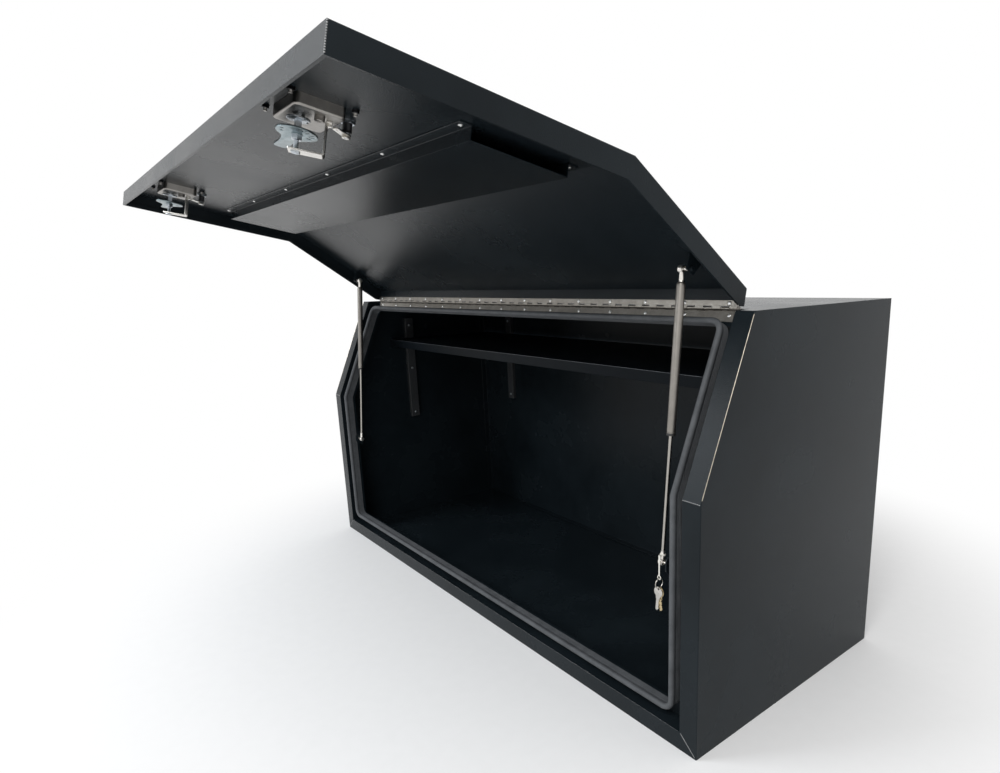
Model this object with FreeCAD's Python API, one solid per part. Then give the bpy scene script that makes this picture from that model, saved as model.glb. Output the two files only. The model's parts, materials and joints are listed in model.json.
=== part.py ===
import FreeCAD, Part
import math
import os

V = FreeCAD.Vector

# Aluminium toolbox with a full-width lid that wraps over a sloped front.
# While the pieces are drawn, y runs back from the front face, z up from the floor,
# and the lid is closed. At the end the lid swings open and the origin moves to
# the middle of the base.

# Overall size
width = 1800.0
depth = 700.0
height = 900.0
front_height = 550.0     # upright part of the front, up to the bend
slope_setback = 150.0    # how far the sloped part leans back at the top
sheet = 2.5
corner_round = 2.0       # outside radius of the folded corners
fastener_sides = 8       # sides of the outlines of rivets, screws and studs
fitting_sides = 12       # sides of the outlines of small turned fittings
lid_open = 102.0         # degrees from closed to fully open

# Frame round the opening
side_strip = 45.0
bottom_strip = 42.0
recess_depth = 42.0      # from the front face to the floor of the channel
channel = 30.0           # width of the channel floor at the sides
top_channel = 18.0       # from the top front edge down the slope to the top lip
lip_tip = 21.5           # depth of the lip's free edge behind the front face
back_flange = 22.0

# Door seal that grips the lip
seal_bulb = 6.6
seal_sides = 10
seal_tip = 3.2           # depth of the bulb's crown
seal_grip = 4.2          # half width of the grip
seal_slot_clear = 0.1
seal_end = 35.0          # depth of the open end of the grip
seal_turn = 25.0         # bend radius at the four corners
seal_corner_steps = 4

# Lid
lid_side_gap = 10.0
lid_bottom_gap = 5.0
lid_flange = 40.0
hem = 12.0

# Piano hinge
hinge_inset = 65.0       # from the end of the box to the end of the hinge
hinge_knuckles = 16
knuckle_sides = 12
knuckle_gap = 0.4
pin_r = 2.5
pin_clear = 0.06
leaf_sheet = 1.6
leaf_width = 27.0
leaf_width_lid = 16.0
leaf_clear = 0.35        # between a turning knuckle and the sheet behind it
hinge_rivets = 15
hinge_rivet_inset = 23.0
rivet_row = 14.0         # from the hinge axis to the rivet row
rivet_row_lid = 9.5
rivet_head_r = 4.0
rivet_head_h = 1.6
rivet_crown = 0.55       # share of a head's radius that its flat crown keeps

# Hat-section stiffener inside the lid's front panel
stiff_inset = 185.0      # from the end of the box to the end of the stiffener
stiff_sheet = 2.0
stiff_height = 24.5
stiff_top = 30.0         # below the bend
stiff_wide = 200.0
stiff_flange = 21.0
stiff_rivets = 6
stiff_rivet_inset = 15.0

# Latches
latch_inset = 370.0      # from the end of the box to the spindle
latch_z = 121.0
latch_offset = 15.0      # dish centre above the spindle
dish_wide = 112.0
dish_tall = 80.0
dish_deep = 21.0
dish_sheet = 1.2
dish_corner = 10.0
dish_edge = 4.0          # slant round the floor of the dish
plate_wide = 140.0
plate_sheet = 1.5
plate_below = 43.0       # plate edge below the spindle
plate_above = 91.0
stud_x = 62.0
stud_low = 33.0          # below the spindle
stud_high = 65.0         # above the spindle
stud_r = 3.0
stud_len = 12.0
stud_clear = 0.05
nut_across = 10.0
nut_thick = 5.0
hub_r = 12.0
collar_r = 9.0
run_clear = 0.2
shaft_half = 4.5
disc_r = 18.0
disc_sheet = 3.0
arm_sheet = 3.0
rotor_r = 30.5
rotor_ear = 5.0          # what the two ears add to the radius
rotor_turn = -38.0       # direction of one ear, from the long side of the lid
rotor_sides = 24
tongue_clear = 0.8       # between the tongue and the back of the channel
tongue_len = 107.0
shaft_end_r = 3.8
hub_nut = 9.0            # thickness of the nut on the rotor
hub_nut_across = 15.0
handle_pin_depth = 8.0
handle_reach = 46.0
handle_half = 21.0
handle_bar_r = 4.6
strap_depth = 69.0
strap_reach = 40.0       # from the spindle to the outside of the strap's upright
strap_half = 13.0
strap_turn = -68.0       # direction of the strap, from the long side of the lid
strap_foot = 13.0
boss_r = 8.0             # round boss on the back of the dish, beside the strap's foot
boss_h = 8.0
boss_x = 31.0
boss_up = 22.0
barrel_up = 77.0         # key barrel above the spindle
barrel_r = 8.0
barrel_nut = 22.0
plug_r = 5.4
cam_len = 34.0
cam_lean = 37.0          # rest direction of the cam, from straight down

# Gas struts
strut_inset = 127.0      # from the end of the box to the strut
strut_low_y = 36.0
strut_low_z = 385.5
strut_top_s = 113.8      # upper ball, down the slope from the top front edge
strut_top_d = 30.8       # upper ball, behind the slope's outer face
tube_r = 9.0
tube_len = 320.0
tube_back = 25.0         # from the upper ball to the end of the tube
rod_r = 4.0
rod_clear = 0.3
rod_inside = 35.0        # length of rod left in the tube when the lid is open
ball_r = 5.0
ball_clear = 0.3
ball_stand = 20.0        # from the ball's centre to the bracket's ear
stud_shank_r = 2.8
socket_r = 8.0
socket_back = 7.0
socket_front = 4.5
socket_neck_r = 5.0
neck_low = 24.0          # from the lower ball to the rod
ear_sheet = 3.0
low_foot = 52.0          # width of the cabinet bracket's foot
top_foot = 21.0          # width of the lid bracket's foot

# Shelf and the uprights that carry it
shelf_top_z = 745.0
shelf_front = 240.0
shelf_lip = 28.0
shelf_sheet = 2.0
upright_wide = 35.0
upright_deep = 15.0
upright_y = 310.0        # front edge of the end uprights
upright_z0 = 416.0
upright_z1 = 825.0
rear_upright_inset = 215.0
rear_upright_z0 = 467.0
arm_leg = 28.0
arm_shelf = 20.0
screw_r = 5.0
screw_h = 2.5
screw_low = 18.0         # lowest and highest screws from the ends of an upright
screw_high = 28.0
clip_leg = 30.0

# Keys on their tie
key_ring_r = 11.0
key_wire = 0.9
hang_gap = 0.25          # between pieces that hang on each other
tie_drop = 33.0
tie_sheet = 1.2
tie_eye_r = 3.2
key_len = 54.0
key_sheet = 2.2
key_gap = 0.5            # between the two keys
key_bow_r = 11.5
key_eye_r = 2.6

# Worked-out places
half_w = width / 2
hinge_half = half_w - hinge_inset
hinge_rivet_pitch = 2 * (hinge_half - hinge_rivet_inset) / (hinge_rivets - 1)
stiff_half = half_w - stiff_inset
stiff_rivet_pitch = 2 * (stiff_half - stiff_rivet_inset) / (stiff_rivets - 1)
latch_x = half_w - latch_inset
strut_x = half_w - strut_inset
rear_upright_x = half_w - rear_upright_inset
tilt = math.atan2(slope_setback, height - front_height)
slope_len = math.hypot(slope_setback, height - front_height)
recess_x = half_w - side_strip
lip_x = recess_x - channel
mitre = bottom_strip / side_strip
lip_z = bottom_strip + channel * mitre
lid_half = recess_x - lid_side_gap
lid_z0 = bottom_strip + lid_bottom_gap
arm_depth = recess_depth + sheet + tongue_clear
knuckle_r = pin_r + pin_clear + leaf_sheet
hinge_z = height - sheet - leaf_sheet + leaf_clear + knuckle_r
hinge_d = recess_depth - leaf_clear - knuckle_r


def slope_y(z, d):
    """y of the sloped front at height z, d behind its outer face."""
    return slope_setback + (z - height) * math.tan(tilt) + d / math.cos(tilt)


def bend_z(d):
    """Height of the bend, d behind the outer face."""
    return front_height - d * math.tan(tilt / 2)


def slope_point(s, d):
    """(y, z) of a point s down the slope from its top edge and d behind it."""
    y = slope_setback - s * math.sin(tilt) + d * math.cos(tilt)
    z = height - s * math.cos(tilt) - d * math.sin(tilt)
    return y, z


hinge_y = slope_y(hinge_z, hinge_d)
hinge_s = (slope_setback - hinge_y) * math.sin(tilt) + (height - hinge_z) * math.cos(tilt)
lid_rear_y = hinge_y - knuckle_r - leaf_clear


def box(x0, x1, y0, y1, z0, z1):
    return Part.makeBox(x1 - x0, y1 - y0, z1 - z0, V(x0, y0, z0))


def prism_x(points, x0, x1):
    """Extrude a (y, z) outline from x0 to x1."""
    corners = [V(x0, y, z) for y, z in points]
    face = Part.Face(Part.makePolygon(corners + corners[:1]))
    return face.extrude(V(x1 - x0, 0, 0))


def prism_y(points, y0, y1):
    """Extrude an (x, z) outline from y0 to y1."""
    corners = [V(x, y0, z) for x, z in points]
    face = Part.Face(Part.makePolygon(corners + corners[:1]))
    return face.extrude(V(0, y1 - y0, 0))


def cyl_x(r, x0, x1, y, z):
    return Part.makeCylinder(r, x1 - x0, V(x0, y, z), V(1, 0, 0))


def cyl_y(r, y0, y1, x, z):
    return Part.makeCylinder(r, y1 - y0, V(x, y0, z), V(0, 1, 0))


def ring_points(r, sides, start=0.0):
    """Corners of a regular outline whose flats touch a circle of radius r."""
    reach = r / math.cos(math.pi / sides)
    turns = [math.radians(start) + 2 * math.pi * k / sides for k in range(sides)]
    return [(reach * math.cos(a), reach * math.sin(a)) for a in turns]


def sided_y(r, sides, y0, y1, x, z):
    """Bar along y whose flats touch a circle of radius r."""
    return prism_y([(x + a, z + b) for a, b in ring_points(r, sides)], y0, y1)


def sided_x(r, sides, x0, x1, y, z):
    """Bar along x whose flats touch a circle of radius r."""
    return prism_x([(y + a, z + b) for a, b in ring_points(r, sides)], x0, x1)


def hex_y(across, y0, y1, x, z):
    return sided_y(across / 2, 6, y0, y1, x, z)


def stud_y(r, y0, y1, x, z):
    """Small threaded stud or its hole, drawn with few sides."""
    return sided_y(r, fastener_sides, y0, y1, x, z)


def skin(loops):
    """Solid with flat faces between loops of equally many corners, closed at both ends."""
    outlines = [loops[0], loops[-1]]
    for low, high in zip(loops, loops[1:]):
        for k in range(len(low)):
            n = (k + 1) % len(low)
            outlines.append([low[k], low[n], high[n], high[k]])
    faces = [Part.Face(Part.makePolygon(outline + outline[:1])) for outline in outlines]
    shell = Part.makeShell(faces)
    shell.sewShape()
    solid = Part.makeSolid(shell)
    if solid.Volume < 0:
        solid.reverse()
    return solid


def turned(rings, sides, place, way):
    """Turned piece along a direction, from (distance, radius) pairs, drawn with flat sides."""
    shape = skin([[V(a, b, up) for a, b in ring_points(r, sides)] for up, r in rings])
    shape.Placement = FreeCAD.Placement(place, FreeCAD.Rotation(V(0, 0, 1), way))
    return shape


def rivet_head(place, way, r, h):
    """Low head standing on a face, with slanted sides."""
    return turned([(0, r), (h, rivet_crown * r)], fastener_sides, place, way)


def rounded_points(x0, x1, z0, z1, r):
    """Outline whose four corners turn in three steps, as a pressed corner does."""
    outline = []
    corners = ((x1 - r, z1 - r, 0), (x0 + r, z1 - r, 90), (x0 + r, z0 + r, 180), (x1 - r, z0 + r, 270))
    for cx, cz, start in corners:
        for step in range(4):
            a = math.radians(start + 30 * step)
            outline.append((cx + r * math.cos(a), cz + r * math.sin(a)))
    return outline


def rounded_y(x0, x1, z0, z1, r, y0, y1):
    return prism_y(rounded_points(x0, x1, z0, z1, r), y0, y1)


def pressed_y(half_x, z0, z1, r, edge, y0, y1):
    """Pressed pan about x = 0: straight walls, then a slant of size edge up to its floor at y1."""
    loops = []
    for y, e in ((y0, 0.0), (y1 - edge, 0.0), (y1, edge)):
        outline = rounded_points(-half_x + e, half_x - e, z0 + e, z1 - e, r - e)
        loops.append([V(x, y, z) for x, z in outline])
    return skin(loops)


def fuse(first, *rest):
    return first.multiFuse(list(rest)).removeSplitter()


def round_edges(shape, r, test):
    """Round the straight edges whose midpoint and direction pass the test."""
    picked = []
    for edge in shape.Edges:
        mid = edge.valueAt((edge.FirstParameter + edge.LastParameter) / 2)
        way = edge.tangentAt(edge.FirstParameter)
        if test(mid, way):
            picked.append(edge)
    return shape.makeFillet(r, picked)


def mirror_x(shape):
    return shape.mirror(V(0, 0, 0), V(1, 0, 0))


# Cabinet

def front_band(x0, x1, d0, d1, z0, z1):
    """Sheet that follows the bent front between two depths, cut level at both ends."""
    points = [(d0, z0), (d0, bend_z(d0)), (slope_y(z1, d0), z1)]
    points += [(slope_y(z1, d1), z1), (d1, bend_z(d1)), (d1, z0)]
    return prism_x(points, x0, x1)


def front_band_s(x0, x1, d0, d1, z0, s1):
    """The same, but cut square to the slope at its upper end."""
    points = [(d0, z0), (d0, bend_z(d0)), slope_point(s1, d0)]
    points += [slope_point(s1, d1), (d1, bend_z(d1)), (d1, z0)]
    return prism_x(points, x0, x1)


def mitre_wedge(above):
    """Region over or under the mitre line in the lower right corner."""
    far = 2 * (side_strip + channel)
    top = far * mitre if not above else front_height
    points = [(half_w, 0), (half_w - far, far * mitre)]
    points += [(half_w - far, top), (half_w, top)] if above else [(half_w - far, 0)]
    return prism_y(points, -1.0, recess_depth + 10)


def side_panel():
    back = recess_depth + sheet
    under_top = height - sheet
    outline = [(0, 0), (0, front_height), (slope_setback, height), (depth, height), (depth, 0)]
    skin = prism_x(outline, half_w - sheet, half_w)
    strip = front_band(recess_x, half_w - sheet, 0, sheet, 0, under_top)
    wall = front_band(recess_x, recess_x + sheet, 0, back, 0, under_top)
    floor = front_band_s(lip_x - sheet, recess_x + sheet, recess_depth, back, 0, top_channel + sheet)
    turn = seal_turn + sheet / 2
    lip = front_band_s(lip_x - sheet, lip_x, lip_tip, back, lip_z + turn, top_channel + turn)
    folds = fuse(strip, wall, floor, lip).cut(mitre_wedge(False))
    panel = fuse(skin, folds)

    def outer_front_edge(mid, way):
        on_edge = abs(mid.x - half_w) < 0.01 and abs(way.x) < 0.01
        on_front = mid.y < 0.01 and abs(way.z) > 0.9
        on_slope = abs(mid.y - slope_y(mid.z, 0)) < 0.01 and 0.1 < abs(way.y) < 0.9
        return on_edge and (on_front or on_slope)

    return round_edges(panel, corner_round, outer_front_edge)


def base_panel():
    back = recess_depth + sheet
    inner = half_w - sheet
    floor_sheet = box(-inner, inner, 0, depth - sheet, 0, sheet)
    strip = box(-inner, inner, 0, sheet, 0, bottom_strip)
    wall = box(-inner, inner, 0, back, bottom_strip - sheet, bottom_strip)
    reach = lip_x - sheet / 2 - seal_turn
    channel_floor = box(-inner, inner, recess_depth, back, bottom_strip - sheet, lip_z + sheet)
    lip = box(-reach, reach, lip_tip, back, lip_z, lip_z + sheet)
    over = mitre_wedge(True)
    folds = fuse(strip, wall, channel_floor, lip).cut(over).cut(mirror_x(over))
    return fuse(floor_sheet, folds)


def top_panel():
    back = recess_depth + sheet
    inner = half_w - sheet
    under = height - sheet
    fold_y = slope_y(height, recess_depth)
    plate = box(-inner, inner, fold_y, depth - sheet, under, height)
    ear_outline = [(slope_y(under, 0), under), (slope_setback, height), (fold_y, height), (fold_y, under)]
    ear = prism_x(ear_outline, recess_x, inner)
    end = top_channel + sheet
    fold_outline = [(fold_y, height), slope_point(end, recess_depth), slope_point(end, back)]
    fold_outline += [(slope_y(height, back), height)]
    fold = prism_x(fold_outline, -recess_x, recess_x)
    lip_outline = [slope_point(top_channel, lip_tip), slope_point(end, lip_tip)]
    lip_outline += [slope_point(end, back), slope_point(top_channel, back)]
    reach = lip_x - sheet / 2 - seal_turn
    lip = prism_x(lip_outline, -reach, reach)
    return fuse(plate, ear, mirror_x(ear), fold, lip)


def back_panel():
    inner = half_w - sheet
    under = height - sheet
    face = depth - sheet
    plate = box(-inner, inner, face, depth, 0, under)
    side = box(inner - sheet, inner, face - back_flange, face, sheet, under)
    low = box(-inner, inner, face - back_flange, face, sheet, 2 * sheet)
    high = box(-inner, inner, face - back_flange, face, under - sheet, under)
    return fuse(plate, side, mirror_x(side), low, high)


# Seal

def seal_section(origin, across, inward):
    """Section of the seal: a bulb on a grip with a slot for the lip."""

    def at(u, d):
        return origin + across * u + inward * d

    slot = sheet / 2 + seal_slot_clear
    centre = seal_tip + seal_bulb
    neck = math.asin(seal_grip / seal_bulb)
    slot_end = lip_tip - 2 * seal_slot_clear
    sweep = 2 * (math.pi - neck)
    line = []
    for k in range(seal_sides + 1):
        a = neck + sweep * k / seal_sides
        line.append(at(seal_bulb * math.sin(a), centre + seal_bulb * math.cos(a)))
    line += [at(-seal_grip, seal_end), at(-slot, seal_end), at(-slot, slot_end)]
    line += [at(slot, slot_end), at(slot, seal_end), at(seal_grip, seal_end)]
    return line


def seal_run(section, way):
    """Straight length of the seal."""
    return Part.Face(Part.makePolygon(section + section[:1])).extrude(way)


def seal_corner(section, middle, axis):
    """Quarter turn of the seal about a point, in equal steps."""
    loops = []
    for k in range(seal_corner_steps + 1):
        turn = FreeCAD.Rotation(axis, 90.0 * k / seal_corner_steps)
        loops.append([middle + turn.multVec(corner - middle) for corner in section])
    return skin(loops)


def door_seal():
    mid_x = lip_x - sheet / 2
    mid_z = lip_z + sheet / 2
    mid_s = top_channel + sheet / 2
    turn = seal_turn
    inward = V(0, 1, 0)
    slope_in = V(0, math.cos(tilt), -math.sin(tilt))
    slope_up = V(0, math.sin(tilt), math.cos(tilt))

    def on_slope(x, s):
        return V(x, *slope_point(s, 0))

    half_front = mid_x - turn
    low = seal_run(seal_section(V(-half_front, 0, mid_z), V(0, 0, -1), inward), V(2 * half_front, 0, 0))
    corner = seal_section(V(half_front, 0, mid_z), V(0, 0, -1), inward)
    corner = seal_corner(corner, V(half_front, 0, mid_z + turn), V(0, -1, 0))
    upright = seal_section(V(mid_x, 0, mid_z + turn), V(1, 0, 0), inward)
    upright = seal_run(upright, V(0, 0, front_height - mid_z - turn + seal_end))
    slope_run = slope_len - mid_s - turn
    leaning = seal_section(on_slope(mid_x, mid_s + turn), V(1, 0, 0), slope_in)
    leaning = seal_run(leaning, slope_up * -(slope_run + seal_end))
    far = 2 * recess_depth
    rise = far * math.tan(tilt / 2)
    under = prism_x([(-far, front_height + rise), (far, front_height - rise), (far, 0), (-far, 0)],
                    mid_x - far, mid_x + far)
    upright = upright.common(under)
    leaning = leaning.cut(under)
    high_corner = seal_section(on_slope(half_front, mid_s), slope_up, slope_in)
    high_corner = seal_corner(high_corner, on_slope(half_front, mid_s + turn), slope_in)
    high = seal_run(seal_section(on_slope(-half_front, mid_s), slope_up, slope_in), V(2 * half_front, 0, 0))
    right = [corner, upright, leaning, high_corner]
    return fuse(low, high, *right, *[mirror_x(piece) for piece in right])


# Hinge

def knuckle_spans(own):
    """x ranges of the knuckles of one leaf, 0 for the cabinet's and 1 for the lid's."""
    step = 2 * hinge_half / hinge_knuckles
    for k in range(own, hinge_knuckles, 2):
        yield -hinge_half + k * step + knuckle_gap / 2, -hinge_half + (k + 1) * step - knuckle_gap / 2


def body_leaf_outline(top):
    outer = recess_depth - leaf_sheet
    low = hinge_s + leaf_width
    return [slope_point(top, outer), slope_point(low, outer), slope_point(low, recess_depth),
            slope_point(top, recess_depth)]


def lid_leaf_outline(rear):
    top = height - sheet
    low = top - leaf_sheet
    front = hinge_y - leaf_width_lid
    return [(front, low), (rear, low), (rear, top), (front, top)]


def hinge_leaf(own, outline, end_at_axis, end_clear):
    pieces = [prism_x(outline(end_clear), -hinge_half, hinge_half)]
    for x0, x1 in knuckle_spans(own):
        pieces.append(prism_x(outline(end_at_axis), x0, x1))
        pieces.append(sided_x(knuckle_r, knuckle_sides, x0, x1, hinge_y, hinge_z))
    bore = sided_x(pin_r + pin_clear, knuckle_sides, -hinge_half - 1, hinge_half + 1, hinge_y, hinge_z)
    return fuse(*pieces).cut(bore)


def body_leaf():
    return hinge_leaf(0, body_leaf_outline, hinge_s, hinge_s + knuckle_r + leaf_clear)


def lid_leaf():
    return hinge_leaf(1, lid_leaf_outline, hinge_y, hinge_y - knuckle_r - leaf_clear)


def hinge_rivet_places():
    return [-hinge_half + hinge_rivet_inset + k * hinge_rivet_pitch for k in range(hinge_rivets)]


def body_rivets():
    way = V(0, -math.cos(tilt), math.sin(tilt))
    spot = slope_point(hinge_s + rivet_row, recess_depth - leaf_sheet)
    return [rivet_head(V(x, *spot), way, rivet_head_r, rivet_head_h) for x in hinge_rivet_places()]


def lid_rivets():
    low = height - sheet - leaf_sheet
    spot = (hinge_y - rivet_row_lid, low)
    return [rivet_head(V(x, *spot), V(0, 0, -1), rivet_head_r, rivet_head_h) for x in hinge_rivet_places()]


# Lid

def lid_pan():
    under = height - sheet
    section = [(0, lid_z0), (0, front_height), (slope_setback, height), (lid_rear_y, height)]
    section += [(lid_rear_y, under), (slope_y(under, sheet), under), (sheet, bend_z(sheet))]
    section += [(sheet, lid_z0 + sheet), (lid_flange, lid_z0 + sheet), (lid_flange, lid_z0)]
    skin = prism_x(section, -lid_half, lid_half)
    rear_drop = (lid_rear_y - slope_y(height, lid_flange)) / math.tan(tilt)
    cheek = [(0, lid_z0), (0, front_height), (slope_setback, height), (lid_rear_y, height)]
    cheek += [(lid_rear_y, height + rear_drop), (lid_flange, bend_z(lid_flange)), (lid_flange, lid_z0)]
    side = prism_x(cheek, lid_half - sheet, lid_half)
    fold = lid_flange - hem
    side_hem = front_band(lid_half - 2 * sheet, lid_half - sheet, fold, lid_flange, lid_z0 + 2 * sheet,
                          height + rear_drop)
    inner = lid_half - sheet
    front_hem = box(-inner, inner, fold, lid_flange, lid_z0 + sheet, lid_z0 + 2 * sheet)
    pan = fuse(skin, side, mirror_x(side), side_hem, mirror_x(side_hem), front_hem)

    def outer_edge(mid, way):
        on_edge = abs(abs(mid.x) - lid_half) < 0.01 and abs(way.x) < 0.01
        on_front = mid.y < 0.01 and abs(way.z) > 0.9
        on_slope = abs(mid.y - slope_y(mid.z, 0)) < 0.01 and 0.1 < abs(way.y) < 0.9
        return on_edge and (on_front or on_slope)

    pan = round_edges(pan, corner_round, outer_edge)
    for side_x in (latch_x, -latch_x):
        pan = pan.cut(latch_openings(side_x))
    return pan


def latch_openings(x):
    clear = 0.6
    mid = latch_z + latch_offset
    half = dish_wide / 2 + clear
    tall = dish_tall / 2 + clear
    hole = rounded_y(x - half, x + half, mid - tall, mid + tall, dish_corner, -1, sheet + 1)
    holes = [sided_y(barrel_r + clear, fitting_sides, -1, sheet + 1, x, latch_z + barrel_up)]
    for sx, sz in latch_stud_places(x):
        holes.append(stud_y(stud_r + clear, -1, sheet + 1, sx, sz))
    return hole.multiFuse(holes)


def stiffener_rivet_places():
    low = front_height - stiff_top - stiff_wide - stiff_flange / 2
    high = front_height - stiff_top + stiff_flange / 2
    first = stiff_rivet_inset - stiff_half
    return [(first + k * stiff_rivet_pitch, z) for k in range(stiff_rivets) for z in (low, high)]


def lid_stiffener():
    t = stiff_sheet
    skin = sheet
    crown = sheet + stiff_height
    z1 = front_height - stiff_top
    z0 = z1 - stiff_wide
    outline = [(skin, z1 + stiff_flange), (skin, z1 - t), (crown - t, z1 - t), (crown - t, z0 + t)]
    outline += [(skin, z0 + t), (skin, z0 - stiff_flange), (skin + t, z0 - stiff_flange), (skin + t, z0)]
    outline += [(crown, z0), (crown, z1), (skin + t, z1), (skin + t, z1 + stiff_flange)]
    return prism_x(outline, -stiff_half, stiff_half)


def stiffener_rivets():
    back = sheet + stiff_sheet
    return [rivet_head(V(x, back, z), V(0, 1, 0), rivet_head_r, rivet_head_h)
            for x, z in stiffener_rivet_places()]


# Latches, drawn about a spindle on the line x = 0 and set at both places, the same way round

def latch_stud_places(x):
    return [(x + a, latch_z + b) for a in (-stud_x, stud_x) for b in (-stud_low, stud_high)]


def latch_dish():
    mid = latch_z + latch_offset
    plate = rounded_y(-plate_wide / 2, plate_wide / 2, latch_z - plate_below, latch_z + plate_above,
                      dish_corner, -plate_sheet, 0)
    half = dish_wide / 2
    tall = dish_tall / 2
    t = dish_sheet
    shell = pressed_y(half, mid - tall, mid + tall, dish_corner, dish_edge, -plate_sheet, dish_deep)
    hollow = pressed_y(half - t, mid - tall + t, mid + tall - t, dish_corner - t, dish_edge,
                       -plate_sheet - 1, dish_deep - t)
    studs = [stud_y(stud_r, 0, stud_len, sx, sz) for sx, sz in latch_stud_places(0)]
    boss = sided_y(boss_r, fitting_sides, dish_deep - t / 2, dish_deep + boss_h, boss_x, latch_z + boss_up)
    dish = fuse(plate, shell, boss, *studs).cut(hollow)
    hub_hole = cyl_y(collar_r + run_clear, 0, dish_deep + 1, 0, latch_z)
    barrel_hole = sided_y(barrel_r + run_clear, fitting_sides, -plate_sheet - 1, 1, 0, latch_z + barrel_up)
    return dish.cut(hub_hole).cut(barrel_hole)


def latch_nuts():
    nuts = []
    for x, z in latch_stud_places(0):
        nut = hex_y(nut_across, sheet, sheet + nut_thick, x, z)
        nuts.append(nut.cut(stud_y(stud_r + stud_clear, 0, stud_len, x, z)))
    return nuts


def latch_spindle():
    z = latch_z
    inside = dish_deep - dish_sheet
    hub = sided_y(hub_r, 2 * fitting_sides, handle_pin_depth - 6, inside - 0.4, 0, z)
    cheek_gap = 4.5
    slot = box(-20, 20, -5, handle_pin_depth + 6, z - cheek_gap, z + cheek_gap)
    pin = Part.makeCylinder(2.5, 2 * hub_r - 4, V(0, handle_pin_depth, z - hub_r + 2), V(0, 0, 1))
    collar = cyl_y(collar_r, inside - 0.4, dish_deep + 3, 0, z)
    top = arm_depth + arm_sheet
    shaft = box(-shaft_half, shaft_half, dish_deep + 3, top, z - shaft_half, z + shaft_half)
    lock_nut = hex_y(hub_nut_across, top, top + hub_nut, 0, z)
    end = sided_y(shaft_end_r, fitting_sides, top + hub_nut, strap_depth + 9, 0, z)
    nut = hex_y(13.0, strap_depth + ear_sheet + 0.4, strap_depth + ear_sheet + 5.4, 0, z)
    return fuse(hub.cut(slot), pin, collar, shaft, lock_nut, end, nut)


def square_hole(y0, y1):
    """Room for the square shaft."""
    return box(-shaft_half, shaft_half, y0, y1, latch_z - shaft_half, latch_z + shaft_half)


def latch_disc():
    z = latch_z
    y0 = dish_deep + 3
    y1 = y0 + disc_sheet
    disc = sided_y(disc_r, 2 * fitting_sides, y0, y1, 0, z)
    notch = box(-5, 5, y0 - 1, y1 + 1, z + disc_r - 5, z + disc_r + 5)
    side_notch = box(disc_r - 5, disc_r + 5, y0 - 1, y1 + 1, z - 5, z + 5)
    low_notch = box(-disc_r - 5, -disc_r + 4, y0 - 1, y1 + 1, z - 4, z + 4)
    return disc.cut(notch).cut(side_notch).cut(low_notch).cut(square_hole(y0 - 1, y1 + 1))


def latch_arm():
    """Flat rotor plate with two ears and a long tongue that lies behind the channel."""
    z = latch_z
    y0 = arm_depth
    y1 = y0 + arm_sheet
    plate = []
    for k in range(rotor_sides):
        a = 2 * math.pi * k / rotor_sides
        r = rotor_r + rotor_ear * math.cos(a - math.radians(rotor_turn)) ** 2
        plate.append((r * math.cos(a), z + r * math.sin(a)))
    end = -tongue_len
    tongue = [(-8, -29), (-22, -19), (-34, -13.5), (-62, -8), (end + 12, -6), (end + 3, -3), (end, 5)]
    tongue += [(end + 1, 13), (end + 8, 17), (end + 22, 16), (-58, 14.5), (-42, 17), (-26, 27), (-8, 31)]
    arm = fuse(prism_y(plate, y0, y1), prism_y([(x, z + up) for x, up in tongue], y0, y1))
    for k in range(5):
        slot = box(-1.8, 1.8, y0 - 1, y1 + 1, 18.0, 27.0)
        slot.rotate(V(), V(0, 1, 0), 90 - 27.0 * k)
        slot.translate(V(0, 0, z))
        arm = arm.cut(slot)
    for x, up in ((9.0, -25.0), (-4.0, -22.0)):
        arm = arm.cut(sided_y(2.4, fastener_sides, y0 - 1, y1 + 1, x, z + up))
    return arm.cut(square_hole(y0 - 1, y1 + 1))


def latch_strap():
    """Cranked strap that holds the spindle's inner end, its foot on the back of the dish."""
    t = ear_sheet
    top = strap_depth + t
    inner = strap_reach - t
    foot_end = inner + strap_foot
    outline = [(-11, strap_depth), (inner, strap_depth), (inner, dish_deep), (foot_end, dish_deep)]
    outline += [(foot_end, dish_deep + t), (strap_reach, dish_deep + t), (strap_reach, top), (-11, top)]
    corners = [V(a, b, -strap_half) for a, b in outline]
    strap = Part.Face(Part.makePolygon(corners + corners[:1])).extrude(V(0, 0, 2 * strap_half))
    trim = prism_y([(-12, -strap_half - 1), (-12, -7), (0, -strap_half)], strap_depth - 1, top + 1)
    strap = strap.cut(trim)
    strap = strap.cut(sided_y(shaft_end_r + 2 * run_clear, fitting_sides, strap_depth - 1, top + 1, 0, 0))
    strap.rotate(V(), V(0, 1, 0), strap_turn)
    strap.translate(V(0, 0, latch_z))
    return strap


def latch_barrel():
    z = latch_z + barrel_up
    bezel = sided_y(barrel_r + 3, 2 * fitting_sides, -plate_sheet - 2.5, -plate_sheet, 0, z)
    body = sided_y(barrel_r, fitting_sides, -plate_sheet, dish_deep + 1.5, 0, z)
    nut = hex_y(barrel_nut, sheet, sheet + nut_thick, 0, z)
    bore = sided_y(plug_r + run_clear / 2, fitting_sides, -10, dish_deep + 5, 0, z)
    return fuse(bezel, body, nut).cut(bore)


def latch_plug():
    z = latch_z + barrel_up
    y1 = dish_deep + 1.7
    plug = cyl_y(plug_r, -plate_sheet - 2.2, y1, 0, z)
    slot = box(-0.7, 0.7, -10, 8, z - 4, z + 4)
    square = box(-3, 3, y1, y1 + 4.5, z - 3, z + 3)
    return fuse(plug.cut(slot), square)


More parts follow.
